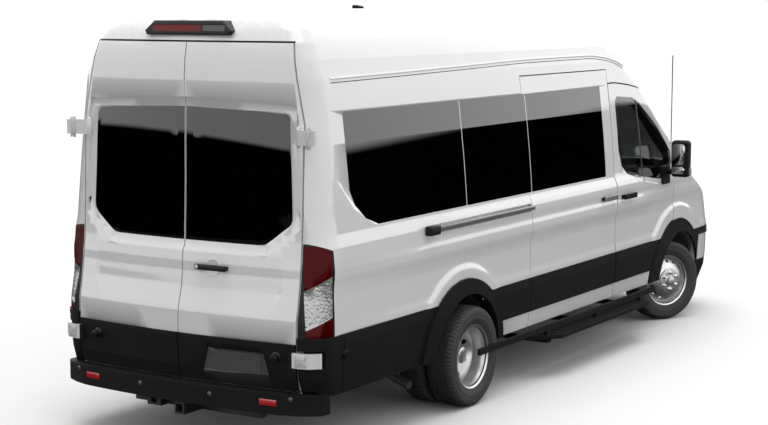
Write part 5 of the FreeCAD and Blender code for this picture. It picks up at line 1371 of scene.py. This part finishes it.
def seatRow(name, x, y, size, places, node):
    s = seats
    width = size["width"] / places
    foot, top = size["top"] - size["height"], size["top"]
    head = top + size["back"]
    first = y - size["width"] / 2
    for number in range(places):
        left = first + width * number
        low, high = left + s["gap"], left + width - s["gap"]
        middle = left + width / 2
        label = "%s-%d" % (name, number + 1) if places > 1 else name
        seams = (left + width * s["seamPlace"], left + width * (1 - s["seamPlace"]))
        item = softPiece(pad((x, low, foot), (x + size["length"], high, top), s["radius"],
                             s["cushionCrown"], seams, 2), label + "-cushion")
        if number == 0:
            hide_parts(node)
        softPiece(pad((x - size["thick"], low, foot + s["backGap"]),
                      (x, high, head - s["backDrop"]), s["radius"], s["backCrown"], seams,
                      0), label + "-back")
        softPiece(pad((x - size["thick"] + s["headInset"], middle - s["headHalf"],
                       head - s["headTall"]),
                      (x - s["headInset"], middle + s["headHalf"], head),
                      s["headRadius"], s["headCrown"], (), 0), label + "-headrest")
    mesh = bmesh.new()
    count = max(places, 2)
    for n in range(count):
        leg = first + s["legPlace"] + (size["width"] - 2 * s["legPlace"]) * n / (count - 1)
        join(mesh, roundedBox((x + s["legInset"], leg - s["legHalf"], s["legFoot"]),
                              (x + size["length"] - s["legInset"], leg + s["legHalf"],
                               foot + 0.01), s["legEdge"], 2))
    for number in range(places):
        for away in (-s["postHalf"], s["postHalf"]):
            spot = (x - size["thick"] / 2, first + width * (number + 0.5) + away,
                    head - s["postDrop"])
            join(mesh, turned(s["post"], 12), Matrix.Translation(spot))
    place(mesh, name + "-frame", "vehicle", blackSteel, "black_steel", 35)


c, b = seats["cab"], seats["bench"]
seatRow("driver-seat", c["x"], c["ys"][1], c, 1, "cab_seats")
seatRow("passenger-seat", c["x"], c["ys"][0], c, 1, "cab_seats")
for number, x in enumerate(b["xs"]):
    seatRow("bench-%d" % (number + 1), x, b["y"], b, 3, "bench_seats")
print("seats ready")


# light, floor and camera

studio = {
    # level where the reflected sky ends, and how it rises along X and Y
    "horizon": 0.0004, "horizonAlong": 0.0423, "horizonAcross": 0.0045,
    "horizonSoft": 0.004, "skyGloss": 2.4, "groundGloss": 0.0,
    "skyLight": 0.66, "leanAlong": 0.15, "leanAcross": -0.36,
    "lampStrength": 1.35, "lampSoft": 50, "lampTilt": -2,
    "floorSeen": 0.96, "floorBounce": 0.4, "floorHalf": 40.0,
}
world = bpy.data.worlds.new("studio")
bpy.context.scene.world = world
world.use_nodes = True
tree = world.node_tree
tree.nodes.clear()
path = tree.nodes.new("ShaderNodeLightPath")
parts = tree.nodes.new("ShaderNodeSeparateXYZ")
tree.links.new(tree.nodes.new("ShaderNodeTexCoord").outputs["Generated"], parts.inputs[0])


def sloped(base, along, across):
    # a value that changes evenly with the direction of the ray
    level = mathNode(tree, "MULTIPLY_ADD", parts.outputs["X"], along, base)
    return mathNode(tree, "MULTIPLY_ADD", parts.outputs["Y"], across, level)


def background(strength=None):
    node = tree.nodes.new("ShaderNodeBackground")
    node.inputs["Color"].default_value = (1, 1, 1, 1)
    if strength is not None:
        tree.links.new(strength, node.inputs["Strength"])
    return node.outputs[0]


def chosenBy(ray, other, own):
    node = tree.nodes.new("ShaderNodeMixShader")
    for socket, source in zip(node.inputs, (path.outputs[ray], other, own)):
        tree.links.new(source, socket)
    return node.outputs[0]


level = sloped(studio["horizon"], studio["horizonAlong"], studio["horizonAcross"])
ramp = tree.nodes.new("ShaderNodeMapRange")
ramp.interpolation_type = "SMOOTHSTEP"
ramp.inputs["From Min"].default_value = -studio["horizonSoft"]
ramp.inputs["From Max"].default_value = studio["horizonSoft"]
ramp.inputs["To Min"].default_value = studio["groundGloss"]
ramp.inputs["To Max"].default_value = studio["skyGloss"]
tree.links.new(mathNode(tree, "SUBTRACT", parts.outputs["Z"], level), ramp.inputs["Value"])
sky = studio["skyLight"]
ambient = background(sloped(sky, sky * studio["leanAlong"], sky * studio["leanAcross"]))
light = chosenBy("Is Glossy Ray", ambient, background(ramp.outputs["Result"]))
ending = tree.nodes.new("ShaderNodeOutputWorld")
tree.links.new(chosenBy("Is Camera Ray", light, background()), ending.inputs["Surface"])

lamp = bpy.data.lights.new("overhead", "SUN")
lamp.energy = studio["lampStrength"]
lamp.angle = math.radians(studio["lampSoft"])
linked("overhead", lamp).rotation_euler = (math.radians(studio["lampTilt"]), 0, 0)

floorMesh = bmesh.new()
bmesh.ops.create_grid(floorMesh, x_segments=8, y_segments=8, size=studio["floorHalf"])
floorData = bpy.data.meshes.new("floor")
floorMesh.to_mesh(floorData)
floorMesh.free()
floor = linked("floor", floorData)
floorFinish = bpy.data.materials.new("paleFloor")
floorFinish.use_nodes = True
tree = floorFinish.node_tree
shader = tree.nodes["Principled BSDF"]
tone = tree.nodes.new("ShaderNodeMapRange")  # bright to the camera, greyer as a light
tone.inputs["To Min"].default_value = studio["floorBounce"]
tone.inputs["To Max"].default_value = studio["floorSeen"]
tree.links.new(tree.nodes.new("ShaderNodeLightPath").outputs["Is Camera Ray"],
               tone.inputs["Value"])
tree.links.new(tone.outputs["Result"], shader.inputs["Base Color"])
shader.inputs["Roughness"].default_value = 1.0
shader.inputs["Specular IOR Level"].default_value = 0.0
floorData.materials.append(floorFinish)
floor.visible_glossy = False

view = {"place": (-11.133, -6.394, 2.715), "yaw": 32.01, "pitch": -7.10, "lens": 77.53,
        "film": 36, "reach": 200}
camera = bpy.data.cameras.new("photoCamera")
camera.lens = view["lens"]
camera.sensor_width = view["film"]
camera.clip_end = view["reach"]
cameraItem = linked("photoCamera", camera)
cameraItem.location = view["place"]
yaw, pitch = math.radians(view["yaw"]), math.radians(view["pitch"])
look = Vector((math.cos(pitch) * math.cos(yaw), math.cos(pitch) * math.sin(yaw),
               math.sin(pitch)))
cameraItem.rotation_euler = look.to_track_quat("-Z", "Y").to_euler()
bpy.context.scene.camera = cameraItem
bpy.context.scene.view_settings.view_transform = "Standard"
print("studio ready")
